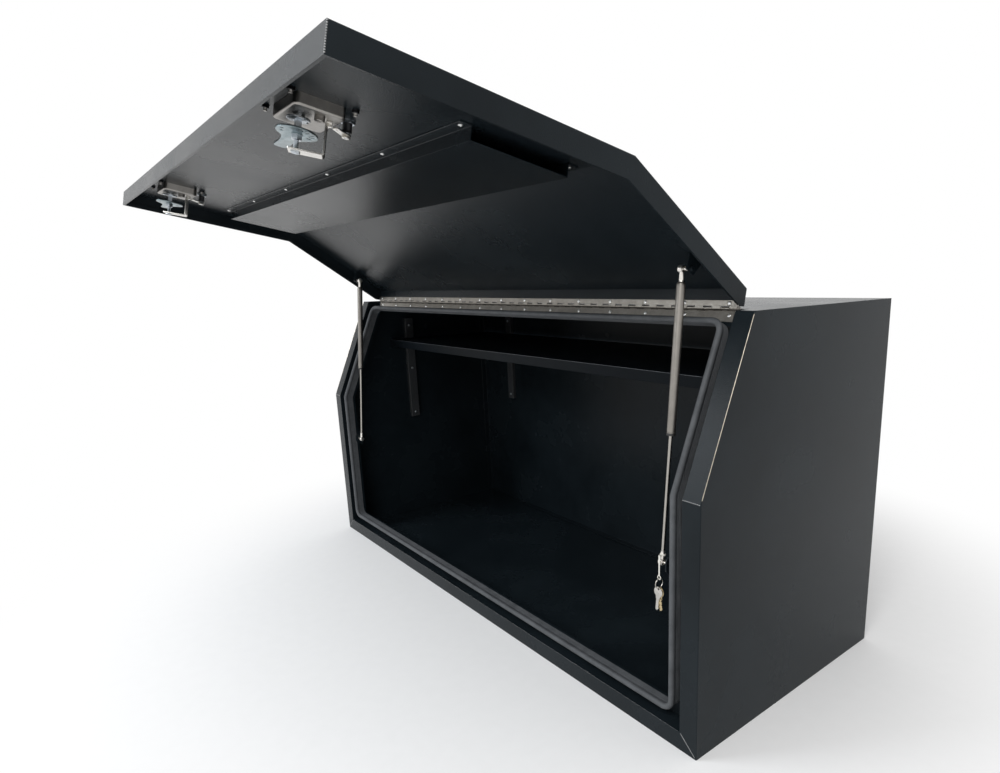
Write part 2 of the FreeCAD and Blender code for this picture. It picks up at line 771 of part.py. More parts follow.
def latch_cam():
    y0 = dish_deep + ear_sheet + 1.0
    y1 = y0 + 2.5
    bar = rounded_y(-6.5, 6.5, -cam_len, 8, 6.4, y0, y1)
    ring = hex_y(13.0, y1, y1 + 3.5, 0, 0)
    cam = fuse(bar, ring)
    cam.rotate(V(), V(0, 1, 0), -cam_lean)
    cam.translate(V(0, 0, latch_z + barrel_up))
    hole = box(-3, 3, y0 - 1, dish_deep + 6.2, latch_z + barrel_up - 3, latch_z + barrel_up + 3)
    return cam.cut(hole)


def latch_handle():
    """T handle, drawn standing out of the dish on its cross pin."""
    z = latch_z
    y = handle_pin_depth
    tip = y - handle_reach + handle_bar_r
    up = V(0, 0, 1)
    heel = turned([(0, 5.0), (8, 5.0)], fitting_sides, V(0, y, z - 4), up)
    stem = box(-4, 4, tip, y, z - 4, z + 4)
    flare = [V(-4, a, z + b) for a, b in ((tip + 16, -4), (tip, -12), (tip, 12), (tip + 16, 4))]
    gusset = Part.Face(Part.makePolygon(flare + flare[:1])).extrude(V(8, 0, 0))
    long = 2 * handle_half
    small = handle_bar_r - 1.4
    rings = [(0, small), (1.4, handle_bar_r), (long - 1.4, handle_bar_r), (long, small)]
    bar = turned(rings, fitting_sides, V(0, tip, z - handle_half), up)
    bore = turned([(0, 2.6), (20, 2.6)], fitting_sides, V(0, y, z - 10), up)
    return fuse(heel, stem, gusset, bar).cut(bore)


# Struts, drawn with the lid open for the right side and mirrored for the left

def swing(shape, angle):
    turned = shape.copy()
    turned.rotate(V(0, hinge_y, hinge_z), V(1, 0, 0), angle)
    return turned


def swing_point(y, z, angle):
    a = math.radians(angle)
    dy, dz = y - hinge_y, z - hinge_z
    return hinge_y + dy * math.cos(a) - dz * math.sin(a), hinge_z + dy * math.sin(a) + dz * math.cos(a)


ball_low = V(strut_x, strut_low_y, strut_low_z)
ball_closed = V(strut_x, *slope_point(strut_top_s, strut_top_d))
ball_open = V(strut_x, *swing_point(ball_closed.y, ball_closed.z, -lid_open))
strut_way = (ball_open - ball_low).normalize()
strut_long = (ball_open - ball_low).Length
strut_short = (ball_closed - ball_low).Length
tube_start = strut_long - tube_back - tube_len


def along(r, a, b):
    """Round bar on the strut's line, from a to b above the lower ball."""
    return Part.makeCylinder(r, b - a, ball_low + strut_way * a, strut_way)


def on_side(point, side):
    return V(side * point.x, point.y, point.z)


def socket(ball, way, reach, side):
    """Ball socket open to the outside of the cabinet, with a neck that runs along the strut."""
    centre = on_side(ball, side)
    out = V(side, 0, 0)
    head = turned([(0, socket_r), (socket_back + socket_front, socket_r)], fitting_sides,
                  centre - out * socket_back, out)
    neck = turned([(0, socket_neck_r), (reach, socket_neck_r)], fitting_sides, centre, way)
    room = ball_r + ball_clear
    cup = Part.makeCylinder(room, socket_front + ball_r + 1, centre - out * room, out)
    return fuse(head, neck).cut(cup)


def strut_rod():
    return along(rod_r, neck_low, tube_start + rod_inside)


def strut_tube():
    body = along(tube_r, tube_start, tube_start + tube_len)
    stroke = strut_long - strut_short
    return body.cut(along(rod_r + rod_clear, tube_start - 1, tube_start + rod_inside + stroke + 5))


def ball_stud(ball, reach, side):
    """Ball end on a straight shank that points to the outside."""
    flat = ball_r * math.tan(math.pi / 8)
    rings = [(-ball_r, flat), (-flat, ball_r), (flat, ball_r), (ball_r, stud_shank_r), (reach, stud_shank_r)]
    return turned(rings, fitting_sides, on_side(ball, side), V(side, 0, 0))


def stud_nut(x, y, z):
    r = 5.6
    turns = [math.radians(60 * k) for k in range(6)]
    return prism_x([(y + r * math.cos(a), z + r * math.sin(a)) for a in turns], x, x + 5)


def body_bracket():
    """Angle bracket behind the channel floor, with an ear that carries the lower ball."""
    x0 = strut_x + ball_stand
    x1 = x0 + ear_sheet
    back = recess_depth + sheet
    foot = box(x0, x0 + low_foot, back, back + ear_sheet, strut_low_z - 25, strut_low_z + 25)
    y0 = strut_low_y - 14
    ear = box(x0, x1, y0, back + ear_sheet, strut_low_z - 18, strut_low_z + 18)
    tips = [e for e in ear.Edges if abs(e.CenterOfMass.y - y0) < 0.01 and abs(e.tangentAt(0).x) > 0.9]
    ear = ear.makeFillet(12.0, tips)
    return fuse(foot, ear, stud_nut(x1, strut_low_y, strut_low_z))


def lid_bracket():
    """Angle bracket under the lid's sloped panel, with an ear for the upper ball stud."""
    x0 = strut_x + ball_stand
    x1 = x0 + ear_sheet
    s0 = strut_top_s - 22
    s1 = strut_top_s + 22

    def quad(sa, sb, da, db, xa, xb):
        corners = [slope_point(sa, da), slope_point(sb, da), slope_point(sb, db), slope_point(sa, db)]
        return prism_x(corners, xa, xb)

    foot = quad(s0, s1, sheet, sheet + ear_sheet, x0, x0 + top_foot)
    ear_outline = [slope_point(s0, sheet), slope_point(s1, sheet), slope_point(s1 - 10, strut_top_d + 8)]
    ear_outline += [slope_point(s0 + 10, strut_top_d + 8)]
    ear = prism_x(ear_outline, x0, x1)
    return fuse(foot, ear, stud_nut(x1, ball_closed.y, ball_closed.z))


# Shelf

def shelf():
    t = shelf_sheet
    half = half_w - sheet - upright_deep - 2.0
    rear = depth - sheet - upright_deep
    top = shelf_top_z
    plate = box(-half, half, shelf_front, rear, top - t, top)
    lip = box(-half, half, shelf_front, shelf_front + t, top - shelf_lip, top)
    turn = box(-half, half, shelf_front, shelf_front + 12, top - shelf_lip, top - shelf_lip + t)
    return fuse(plate, lip, turn)


def channel_bar(length, t):
    """Upright of channel section along z, web at x = 0 to t, open side at negative x."""
    half = upright_wide / 2
    web = box(0, t, -half, half, 0, length)
    low = box(t - upright_deep, t, -half, t - half, 0, length)
    high = box(t - upright_deep, t, half - t, half, 0, length)
    return fuse(web, low, high)


def end_upright():
    bar = channel_bar(upright_z1 - upright_z0, 2.0)
    bar.rotate(V(), V(0, 0, 1), 180)
    bar.translate(V(half_w - sheet - upright_deep + 2.0, upright_y + upright_wide / 2, upright_z0))
    return bar


def rear_upright():
    bar = channel_bar(upright_z1 - rear_upright_z0, 2.0)
    bar.rotate(V(), V(0, 0, 1), 270)
    bar.translate(V(rear_upright_x, depth - sheet - upright_deep + 2.0, rear_upright_z0))
    return bar


def shelf_arm():
    """Angle under the end of the shelf, fixed to the end upright."""
    x1 = half_w - sheet - upright_deep
    t = shelf_sheet
    top = shelf_top_z - shelf_sheet
    leg = box(x1 - t, x1, shelf_front + 14, depth - sheet - upright_deep, top - arm_leg, top)
    ledge = box(x1 - arm_shelf, x1, shelf_front + 14, depth - sheet - upright_deep, top - t, top)
    return fuse(leg, ledge)


def rear_clip():
    rear = depth - sheet - upright_deep
    top = shelf_top_z - shelf_sheet
    half = upright_wide / 2
    t = shelf_sheet
    leg = box(rear_upright_x - half, rear_upright_x + half, rear - t, rear, top - clip_leg, top)
    ledge = box(rear_upright_x - half, rear_upright_x + half, rear - clip_leg, rear, top - t, top)
    return fuse(leg, ledge)


def screw_heights(low, high):
    return low + screw_low, (low + high) / 2, high - screw_high


def upright_screws():
    heads = []
    x = half_w - sheet - upright_deep
    y = depth - sheet - upright_deep
    for side in (-1, 1):
        for z in screw_heights(upright_z0, upright_z1):
            spot = V(side * x, upright_y + upright_wide / 2, z)
            heads.append(rivet_head(spot, V(-side, 0, 0), screw_r, screw_h))
        for z in screw_heights(rear_upright_z0, upright_z1):
            heads.append(rivet_head(V(side * rear_upright_x, y, z), V(0, -1, 0), screw_r, screw_h))
    return heads


# Keys

tie_y = strut_low_y - socket_r - 1.6
tie_low = strut_low_z - tie_drop
ring_z = tie_low - tie_eye_r + hang_gap + key_wire - key_ring_r
ring_inner = key_ring_r - key_wire
key_reach = key_gap / 2 + key_sheet
ring_rise = ring_inner - math.sqrt(ring_inner ** 2 - key_reach ** 2)
key_eye_z = ring_z - ring_inner + ring_rise + hang_gap - key_eye_r


def key_tie():
    """Loop round the neck of the right strut's lower fitting, with an eye that hangs in front of it."""
    centre = ball_low + strut_way * 14.0
    bore = socket_neck_r + 0.05
    band = turned([(0, bore + 1.2), (4, bore + 1.2)], fitting_sides, centre, strut_way)
    band = band.cut(turned([(0, bore), (6, bore)], fitting_sides, centre - strut_way, strut_way))
    y0 = tie_y - tie_sheet / 2
    y1 = tie_y + tie_sheet / 2
    strap = box(strut_x - 2, strut_x + 2, y0, y1, tie_low - 5, centre.z + 3)
    link = box(strut_x - 2, strut_x + 2, y0, centre.y - bore - 0.4, centre.z, centre.z + 3)
    eye = sided_y(tie_eye_r + 1.8, fitting_sides, y0, y1, strut_x, tie_low)
    hole = sided_y(tie_eye_r, fitting_sides, y0 - 1, y1 + 1, strut_x, tie_low)
    return fuse(band, strap, link, eye).cut(hole)


def key_ring():
    """Split ring, seen as one flat-sided hoop."""
    sides = 2 * fitting_sides
    flats = [ring_points(r, sides, 180 / sides) for r in (key_ring_r + key_wire, ring_inner)]
    outer, inner = ([(tie_y + a, ring_z + b) for a, b in points] for points in flats)
    hoop = prism_x(outer, strut_x - key_wire, strut_x + key_wire)
    return hoop.cut(prism_x(inner, strut_x - 2 * key_wire, strut_x + 2 * key_wire))


def key(side, lean, cuts):
    """Flat key with a round bow, hanging from the ring by its eye."""
    t = key_sheet / 2
    middle = -key_bow_r + key_eye_r + 1.6
    tip = middle - key_len + key_bow_r
    bow = sided_y(key_bow_r, 2 * fitting_sides, -t, t, 0, middle)
    neck = box(-5.5, 5.5, -t, t, middle - key_bow_r - 5, middle)
    blade = prism_y([(-4, middle), (-4, tip), (1, tip), (4, tip + 4), (4, middle)], -t, t)
    body = fuse(bow, neck, blade).cut(sided_y(key_eye_r, fitting_sides, -5, 5, 0, 0))
    for k, bite in enumerate(cuts):
        z = tip + 8 + 4.6 * k
        body = body.cut(prism_y([(4.1, z - 2), (4.1, z + 2), (4.1 - bite, z)], -5, 5))
    body.rotate(V(), V(0, 1, 0), lean)
    body.translate(V(strut_x, tie_y + side * (key_sheet + key_gap) / 2, key_eye_z))
    return body


def key_one():
    return key(-1, 5.0, (2.0, 1.2, 2.4, 1.6, 0.9))


def key_two():
    return key(1, -6.0, (1.2, 2.2, 1.0, 2.4, 1.4))


# Assembly

def both(name, shape):
    """The right-hand piece and its mirror image."""
    return {name + "_right": shape, name + "_left": mirror_x(shape)}


def at_both_latches(shape):
    """The same piece, the same way round, at the right and left latch."""
    placed = []
    for x in (latch_x, -latch_x):
        copy = shape.copy()
        copy.translate(V(x, 0, 0))
        placed.append(copy)
    return placed


def latch_pieces(name, shape):
    right, left = at_both_latches(shape)
    return {name + "_right": right, name + "_left": left}


def pair(*shapes):
    """The right-hand pieces and their mirror images as one group."""
    return Part.makeCompound(list(shapes) + [mirror_x(shape) for shape in shapes])


def cabinet_nodes():
    nodes = both("side_panel", side_panel())
    nodes["base_panel"] = base_panel()
    nodes["top_panel"] = top_panel()
    nodes["back_panel"] = back_panel()
    nodes["door_seal"] = door_seal()
    nodes["hinge_leaf_cabinet"] = body_leaf()
    nodes["hinge_pin"] = cyl_x(pin_r, -hinge_half, hinge_half, hinge_y, hinge_z)
    nodes["hinge_rivets_cabinet"] = Part.makeCompound(body_rivets())
    nodes["shelf"] = shelf()
    nodes.update(both("end_upright", end_upright()))
    nodes.update(both("rear_upright", rear_upright()))
    nodes["shelf_arms"] = pair(shelf_arm())
    nodes["shelf_clips"] = pair(rear_clip())
    nodes["upright_screws"] = Part.makeCompound(upright_screws())
    nodes.update(both("strut_bracket_cabinet", body_bracket()))
    studs = [ball_stud(ball_low, ball_stand, side) for side in (-1, 1)]
    nodes["ball_studs_lower"] = Part.makeCompound(studs)
    return nodes


def lid_nodes():
    nodes = {"lid_pan": lid_pan(), "lid_stiffener": lid_stiffener()}
    nodes["stiffener_rivets"] = Part.makeCompound(stiffener_rivets())
    nodes["hinge_leaf_lid"] = lid_leaf()
    nodes["hinge_rivets_lid"] = Part.makeCompound(lid_rivets())
    nodes.update(both("strut_bracket_lid", lid_bracket()))
    nuts = [nut for nut in latch_nuts() for nut in at_both_latches(nut)]
    nodes["latch_nuts"] = Part.makeCompound(nuts)
    units = {"dish": latch_dish, "spindle": latch_spindle, "disc": latch_disc, "arm": latch_arm,
             "strap": latch_strap, "barrel": latch_barrel, "plug": latch_plug, "cam": latch_cam,
             "handle": latch_handle}
    for name, draw in units.items():
        nodes.update(latch_pieces("latch_" + name, draw()))
    return {name: swing(shape, -lid_open) for name, shape in nodes.items()}


def strut_nodes():
    nodes = both("strut_rod", strut_rod())
    nodes.update(both("strut_tube", strut_tube()))
    for name, side in (("_right", 1), ("_left", -1)):
        nodes["strut_socket_lower" + name] = socket(ball_low, strut_way, neck_low, side)
        nodes["strut_socket_upper" + name] = socket(ball_open, strut_way * -1, tube_back, side)
        nodes["ball_stud_upper" + name] = ball_stud(ball_open, ball_stand - ball_clear, side)
    return nodes


def key_nodes():
    return {"key_tie": key_tie(), "key_ring": key_ring(), "key_one": key_one(), "key_two": key_two()}


def main():
    os.makedirs("parts", exist_ok=True)
    nodes = {}
    for group in (cabinet_nodes(), lid_nodes(), strut_nodes(), key_nodes()):
        nodes.update(group)
    for name, shape in nodes.items():
        placed = shape.copy()
        placed.translate(V(0, -depth / 2, 0))
        placed.exportStep("parts/" + name + ".step")
        bad = "" if placed.isValid() else " NOT VALID"
        print(name, len(placed.Solids), "solids", round(placed.Volume / 1000, 2), "cm3" + bad)


main()
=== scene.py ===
"""Looks of a sheet-metal toolbox with its full-width lid propped open.

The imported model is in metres: x to the right, y from the front to the back, z up, origin
at the middle of the base. New pieces are drawn in millimetres with y measured from the
front face, and lid pieces as if the lid were closed, and are then brought into place.
"""

import json
import math

import bmesh
import bpy
from mathutils import Matrix, Vector


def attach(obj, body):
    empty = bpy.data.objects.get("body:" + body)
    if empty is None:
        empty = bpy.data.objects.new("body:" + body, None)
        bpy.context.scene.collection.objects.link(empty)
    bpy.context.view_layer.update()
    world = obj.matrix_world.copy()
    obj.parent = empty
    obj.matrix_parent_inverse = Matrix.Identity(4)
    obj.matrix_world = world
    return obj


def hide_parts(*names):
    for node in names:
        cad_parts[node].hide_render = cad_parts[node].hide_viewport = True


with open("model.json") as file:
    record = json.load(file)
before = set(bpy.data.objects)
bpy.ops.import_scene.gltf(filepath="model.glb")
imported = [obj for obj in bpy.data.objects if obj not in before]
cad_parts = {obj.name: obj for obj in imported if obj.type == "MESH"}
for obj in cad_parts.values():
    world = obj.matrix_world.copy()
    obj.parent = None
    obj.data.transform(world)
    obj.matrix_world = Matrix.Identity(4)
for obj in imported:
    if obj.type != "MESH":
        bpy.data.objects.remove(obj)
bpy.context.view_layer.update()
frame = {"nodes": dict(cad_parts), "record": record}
nodes = frame["nodes"]

# Sizes of the model, in millimetres and degrees
HALF_W, DEPTH, HEIGHT, FRONT_HEIGHT, SETBACK = 900.0, 700.0, 900.0, 550.0, 150.0
SHEET = 2.5
TILT = math.atan2(SETBACK, HEIGHT - FRONT_HEIGHT)
LID_OPEN = 102.0
LID_HALF, LID_LOW = 845.0, 47.0
RECESS = 42.0
LIP_X, LIP_Z, TOP_CHANNEL = 825.0, 70.0, 18.0
PIN_R, KNUCKLE_R, LEAF, LEAF_GAP = 2.5, 4.16, 1.6, 0.35
HINGE_Z = HEIGHT - SHEET - LEAF + LEAF_GAP + KNUCKLE_R
HINGE_D = RECESS - LEAF_GAP - KNUCKLE_R
HINGE_HALF = 835.0
LATCH_X, LATCH_Z, BARREL_UP = 530.0, 121.0, 77.0
STRUT_X = 773.0
STRUT_LOW = (36.0, 385.5)
STRUT_TOP_S, STRUT_TOP_D = 113.8, 30.8
TUBE_LONG, UPPER_REACH, LOWER_REACH = 320.0, 25.0, 24.0

RIGHT, BACK, UP, DOWN = (1, 0, 0), (0, 1, 0), (0, 0, 1), (0, 0, -1)


def slope_y(z, d):
    return SETBACK + (z - HEIGHT) * math.tan(TILT) + d / math.cos(TILT)


def slope_point(s, d):
    """(y, z) of a point s down the slope from its top edge and d behind its outer face."""
    return (SETBACK - s * math.sin(TILT) + d * math.cos(TILT),
            HEIGHT - s * math.cos(TILT) - d * math.sin(TILT))


HINGE_Y = slope_y(HINGE_Z, HINGE_D)
HINGE_S = (SETBACK - HINGE_Y) * math.sin(TILT) + (HEIGHT - HINGE_Z) * math.cos(TILT)

CABINET = Matrix.Translation((0, -DEPTH / 2000, 0)) @ Matrix.Scale(0.001, 4)
SWING = (Matrix.Translation((0, HINGE_Y, HINGE_Z)) @ Matrix.Rotation(math.radians(-LID_OPEN), 4, "X")
         @ Matrix.Translation((0, -HINGE_Y, -HINGE_Z)))
LID = CABINET @ SWING


# Outlines

def arc(cx, cy, r, start, end, steps):
    turns = [math.radians(start + (end - start) * k / steps) for k in range(steps + 1)]
    return [(cx + r * math.cos(a), cy + r * math.sin(a)) for a in turns]


def circle(r, sides, cx=0.0, cy=0.0):
    return arc(cx, cy, r, 0, 360 - 360 / sides, sides - 1)


def square(half):
    return [(-half, -half), (half, -half), (half, half), (-half, half)]


def mirrored(v, side):
    return Vector((side * v.x, v.y, v.z))


def inset(outline, amount):
    """The outline moved inwards, each corner along its bisector."""
    sharpest = 0.35
    count = len(outline)
    moved = []
    for i in range(count):
        a, b, c = (Vector(outline[k % count]) for k in (i - 1, i, i + 1))
        one, two = (b - a).normalized(), (c - b).normalized()
        side = Vector((-one.y, one.x))
        normal = Vector((-(one.y + two.y), one.x + two.x))
        if normal.length < 1e-6:
            normal = side.copy()
        normal.normalize()
        moved.append(b + normal * amount / max(sharpest, normal.dot(side)))
    return moved


def smooth_line(points, steps=5):
    """Smooth curve through the points, as a list of points without the last one."""
    line = []
    last = len(points) - 1
    for k in range(last):
        a, b, c, d = (Vector(points[min(max(i, 0), last)]) for i in (k - 1, k, k + 1, k + 2))
        for s in range(steps):
            t = s / steps
            line.append(tuple(0.5 * ((2 * b) + (c - a) * t + (2 * a - 5 * b + 4 * c - d) * t * t
                                     + (3 * b - a - 3 * c + d) * t ** 3)))
    return line


# Drawing pieces

class Draft:
    """Collects the corners and faces of one piece, in millimetres."""

    def __init__(self):
        self.points = []
        self.faces = []

    def loops(self, loops, close_start=True, close_end=True):
        """Skin over loops of equally many corners."""
        base = len(self.points)
        n = len(loops[0])
        for loop in loops:
            self.points += [tuple(p) for p in loop]
        for k in range(len(loops) - 1):
            a, b = base + k * n, base + (k + 1) * n
            for i in range(n):
                j = (i + 1) % n
                self.faces.append((a + i, a + j, b + j, b + i))
        if close_start:
            self.faces.append(tuple(base + i for i in reversed(range(n))))
        if close_end:
            last = base + (len(loops) - 1) * n
            self.faces.append(tuple(last + i for i in range(n)))

    def turned(self, profile, place, way, sides=32, spin=0.0):
        """Turned form about a direction, from (distance, radius) pairs."""
        turn = Vector(UP).rotation_difference(Vector(way)).to_matrix()
        place = Vector(place)
        loops = []
        for up, r in profile:
            loop = []
            for k in range(sides):
                a = spin + 2 * math.pi * k / sides
                loop.append(place + turn @ Vector((r * math.cos(a), r * math.sin(a), up)))
            loops.append(loop)
        self.loops(loops)

    def plate(self, outline, low, high, to_point, edge):
        """Flat plate over a (u, v) outline between two heights, edges broken by a small slant."""
        heights = ((low, edge), (low + edge, 0.0), (high - edge, 0.0), (high, edge))
        self.loops([[to_point(p[0], p[1], h) for p in (inset(outline, e) if e else outline)]
                    for h, e in heights])

    def cut(self, outlines, low, high, to_point, edge):
        """Flat sheet cut to an outer outline with holes, its edges slightly rounded."""
        curve = bpy.data.curves.new("outline", "CURVE")
        curve.dimensions = "2D"
        curve.fill_mode = "BOTH"
        curve.extrude = (high - low) / 2 - edge
        curve.bevel_depth = edge
        curve.bevel_resolution = 1
        curve.offset = -edge
        for outline in outlines:
            spline = curve.splines.new("POLY")
            spline.points.add(len(outline) - 1)
            for point, (u, v) in zip(spline.points, outline):
                point.co = (u, v, 0.0, 1.0)
            spline.use_cyclic_u = True
        carrier = bpy.data.objects.new("outline", curve)
        mesh = bpy.data.meshes.new_from_object(carrier)
        base = len(self.points)
        middle = (low + high) / 2
        self.points += [tuple(to_point(p.co.x, p.co.y, middle + p.co.z)) for p in mesh.vertices]
        self.faces += [tuple(base + i for i in face.vertices) for face in mesh.polygons]
        bpy.data.objects.remove(carrier)
        bpy.data.curves.remove(curve)
        bpy.data.meshes.remove(mesh)

    def box(self, x0, x1, y0, y1, z0, z1):
        self.loops([[(x0, y0, z), (x1, y0, z), (x1, y1, z), (x0, y1, z)] for z in (z0, z1)])


def piece(name, body, draft, place, slot, material=None, replaces=(), smooth=35.0):
    """Turn a draft into an object of the scene, in its slot's own material unless one is given."""
    mesh = bpy.data.meshes.new(name)
    mesh.from_pydata([place @ Vector(p) for p in draft.points], [], draft.faces)
    mesh.validate()
    mesh.materials.append(material or MATS[slot])
    obj = bpy.data.objects.new(name, mesh)
    bpy.context.scene.collection.objects.link(obj)
    tidy_mesh(mesh)
    mesh.shade_smooth()
    mesh.set_sharp_from_angle(angle=math.radians(smooth))
    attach(obj, body)
    if replaces:
        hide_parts(*replaces)
    return obj


def tidy_mesh(mesh):
    """Join corners that coincide and turn all faces outwards."""
    work = bmesh.new()
    work.from_mesh(mesh)
    bmesh.ops.remove_doubles(work, verts=work.verts, dist=1e-6)
    bmesh.ops.recalc_face_normals(work, faces=work.faces)
    work.to_mesh(mesh)
    work.free()


# Materials

MIX_A, MIX_B, MIX_RESULT = 6, 7, 2  # the Mix node's sockets for colours


class Nodes:
    """Small helper to write a material's node tree."""

    def __init__(self, name):
        self.material = bpy.data.materials.new(name)
        self.material.use_nodes = True
        self.tree = self.material.node_tree
        self.shader = self.tree.nodes["Principled BSDF"]
        self.coords = self.tree.nodes.new("ShaderNodeTexCoord").outputs["Object"]

    def link(self, out, socket):
        self.tree.links.new(out, socket)

    def put(self, socket, value):
        if isinstance(value, bpy.types.NodeSocket):
            self.link(value, socket)
        else:
            socket.default_value = (*value, 1.0) if isinstance(value, tuple) else value

    def noise(self, scale, detail=2.0, rough=0.5, stretch=None):
        node = self.tree.nodes.new("ShaderNodeTexNoise")
        node.inputs["Scale"].default_value = scale
        node.inputs["Detail"].default_value = detail
        node.inputs["Roughness"].default_value = rough
        source = self.coords
        if stretch:
            mapping = self.tree.nodes.new("ShaderNodeMapping")
            mapping.inputs["Scale"].default_value = stretch
            self.link(source, mapping.inputs["Vector"])
            source = mapping.outputs["Vector"]
        self.link(source, node.inputs["Vector"])
        return node.outputs["Fac"]

    def spread(self, value, low, high, out_low=0.0, out_high=1.0, kind="LINEAR"):
        node = self.tree.nodes.new("ShaderNodeMapRange")
        node.interpolation_type = kind
        limits = {"From Min": low, "From Max": high, "To Min": out_low, "To Max": out_high}
        for key, number in limits.items():
            node.inputs[key].default_value = number
        self.link(value, node.inputs["Value"])
        return node.outputs["Result"]

    def math(self, kind, a, b=0.0):
        node = self.tree.nodes.new("ShaderNodeMath")
        node.operation = kind
        self.put(node.inputs[0], a)
        self.put(node.inputs[1], b)
        return node.outputs[0]

    def mix(self, share, a, b):
        node = self.tree.nodes.new("ShaderNodeMix")
        node.data_type = "RGBA"
        self.put(node.inputs["Factor"], share)
        self.put(node.inputs[MIX_A], a)
        self.put(node.inputs[MIX_B], b)
        return node.outputs[MIX_RESULT]

    def bump(self, height, distance, strength):
        node = self.tree.nodes.new("ShaderNodeBump")
        node.inputs["Distance"].default_value = distance
        node.inputs["Strength"].default_value = strength
        self.link(height, node.inputs["Height"])
        return node.outputs["Normal"]

    def finish(self, **inputs):
        for name, value in inputs.items():
            self.put(self.shader.inputs[name.replace("_", " ")], value)
        return self.material


def powder_coat(name, colour=(0.0060, 0.0090, 0.0112), rough=0.25, level=0.13, peel=0.00070):
    """Black powder coat with orange peel and a little dust."""
    n = Nodes(name)
    coarse = n.noise(400.0, detail=1.0)
    fine = n.noise(1300.0, rough=0.55)
    broad = n.noise(3.2, detail=4.0, rough=0.6)
    height = n.math("ADD", n.math("MULTIPLY", fine, 0.45), coarse)
    dusty = tuple(c * 1.7 + 0.0015 for c in colour)
    return n.finish(Base_Color=n.mix(n.spread(broad, 0.35, 0.75), colour, dusty),
                    Roughness=n.spread(broad, 0.3, 0.7, rough - 0.03, rough + 0.05),
                    Specular_IOR_Level=level, Normal=n.bump(height, peel, 0.5))


def metal(name, colour, rough, vary=0.12, grain=None, peel=0.00006, stain=0.0):
    """Plated or brushed metal, grain stretches the brushing, stain darkens broad patches."""
    n = Nodes(name)
    blot = n.noise(60.0, detail=5.0, rough=0.65)
    fine = n.noise(700.0, stretch=grain) if grain else n.noise(900.0, detail=3.0, rough=0.6)
    low = tuple(c * (1 - vary) for c in colour)
    high = tuple(min(1.0, c * (1 + vary)) for c in colour)
    shade = n.mix(n.spread(blot, 0.3, 0.7), low, high)
    if stain:
        patches = n.spread(n.noise(9.0, detail=4.0, rough=0.6), 0.45, 0.75, 0.0, stain)
        shade = n.mix(patches, shade, tuple(c * 0.45 for c in colour))
    return n.finish(Base_Color=shade, Metallic=1.0, Normal=n.bump(fine, peel, 0.5),
                    Roughness=n.spread(fine, 0.25, 0.75, rough - 0.06, rough + 0.08))


def rubber(name, dark, light):
    n = Nodes(name)
    fine = n.noise(1500.0, rough=0.6)
    dust = n.noise(25.0, detail=5.0, rough=0.7)
    return n.finish(Base_Color=n.mix(n.spread(dust, 0.35, 0.75), dark, light),
                    Roughness=n.spread(dust, 0.3, 0.7, 0.55, 0.7),
                    Normal=n.bump(fine, 0.0001, 0.4), Specular_IOR_Level=0.35)


def plastic(name, colour, rough=0.45):
    n = Nodes(name)
    fine = n.noise(1200.0, rough=0.6)
    dust = n.noise(80.0, detail=4.0, rough=0.6)
    worn = tuple(min(1.0, c * 1.25) for c in colour)
    return n.finish(Base_Color=n.mix(n.spread(dust, 0.3, 0.7), colour, worn),
                    Roughness=n.spread(dust, 0.3, 0.7, rough - 0.05, rough + 0.07),
                    Normal=n.bump(fine, 0.00008, 0.4))


# Stretches of the noise that leave brushing along x, y or z
GRAIN_X, GRAIN_Y, GRAIN_Z = (1.0, 14.0, 14.0), (14.0, 1.0, 14.0), (14.0, 14.0, 1.0)

MATS = {
    "black_powder_coat": powder_coat("powder_coat_black"),
    "stainless": metal("stainless_dull", (0.31, 0.29, 0.26), 0.40, 0.14, GRAIN_X, stain=0.35),
    "zinc": metal("zinc_plate", (0.52, 0.56, 0.60), 0.30, 0.18, stain=0.2),
    "seal_rubber": rubber("seal_grey_rubber", (0.050, 0.054, 0.059), (0.095, 0.101, 0.108)),
    "rivet_aluminium": metal("rivet_satin", (0.78, 0.78, 0.77), 0.28, 0.06),
    "strut_body": metal("strut_tube_satin", (0.25, 0.235, 0.215), 0.42, 0.10),
    "strut_rod": metal("strut_rod_bright", (0.42, 0.40, 0.37), 0.22, 0.06),
    "latch_black": powder_coat("latch_black_coat", (0.008, 0.008, 0.009), 0.34, 0.4, 0.0001),
    "black_plastic": plastic("moulded_black", (0.012, 0.012, 0.012)),
    "key_metal": metal("key_nickel", (0.62, 0.60, 0.56), 0.28, 0.12),
    "tie_plastic": plastic("tie_pale", (0.62, 0.60, 0.55)),
}
SOCKET_BRIGHT = metal("fitting_bright_zinc", (0.80, 0.77, 0.72), 0.30, 0.08)
BLUE_ZINC = metal("rotor_blue_zinc", (0.27, 0.33, 0.35), 0.30, 0.25, stain=0.25)
STEEL_BRIGHT = metal("strap_bright_steel", (0.72, 0.70, 0.66), 0.26, 0.08, GRAIN_Z, stain=0.1)
DARK_NUT = metal("nut_black_oxide", (0.055, 0.056, 0.06), 0.35, 0.2)
STEEL_DISH = metal("dish_satin_steel", (0.34, 0.325, 0.305), 0.36, 0.12, GRAIN_Y, stain=0.15)
# painted shade: a darker, less glossy copy of the black coat, standing in for the shade inside the
# cabinet
SHADED_INNER_COAT = powder_coat("powder_coat_inner", (0.0035, 0.0050, 0.0066), 0.34, 0.05)
UPRIGHT_COAT = powder_coat("powder_coat_upright", (0.030, 0.032, 0.034), 0.30, 0.5)
WELD_GREY = metal("weld_bare_metal", (0.42, 0.42, 0.42), 0.42, 0.25)
# painted highlight: bright bare metal for the beads that stand in for the light caught along fold edges
FOLD_HIGHLIGHT_METAL = metal("worn_edge_metal", (0.52, 0.46, 0.38), 0.38, 0.35)
# painted highlight: a paler coat for the thin bright line along the shelf's front edge
SHELF_EDGE_HIGHLIGHT = powder_coat("powder_coat_edge", (0.060, 0.066, 0.075), 0.30, 0.5)
BRASS = metal("key_brass", (0.62, 0.50, 0.30), 0.30, 0.12)


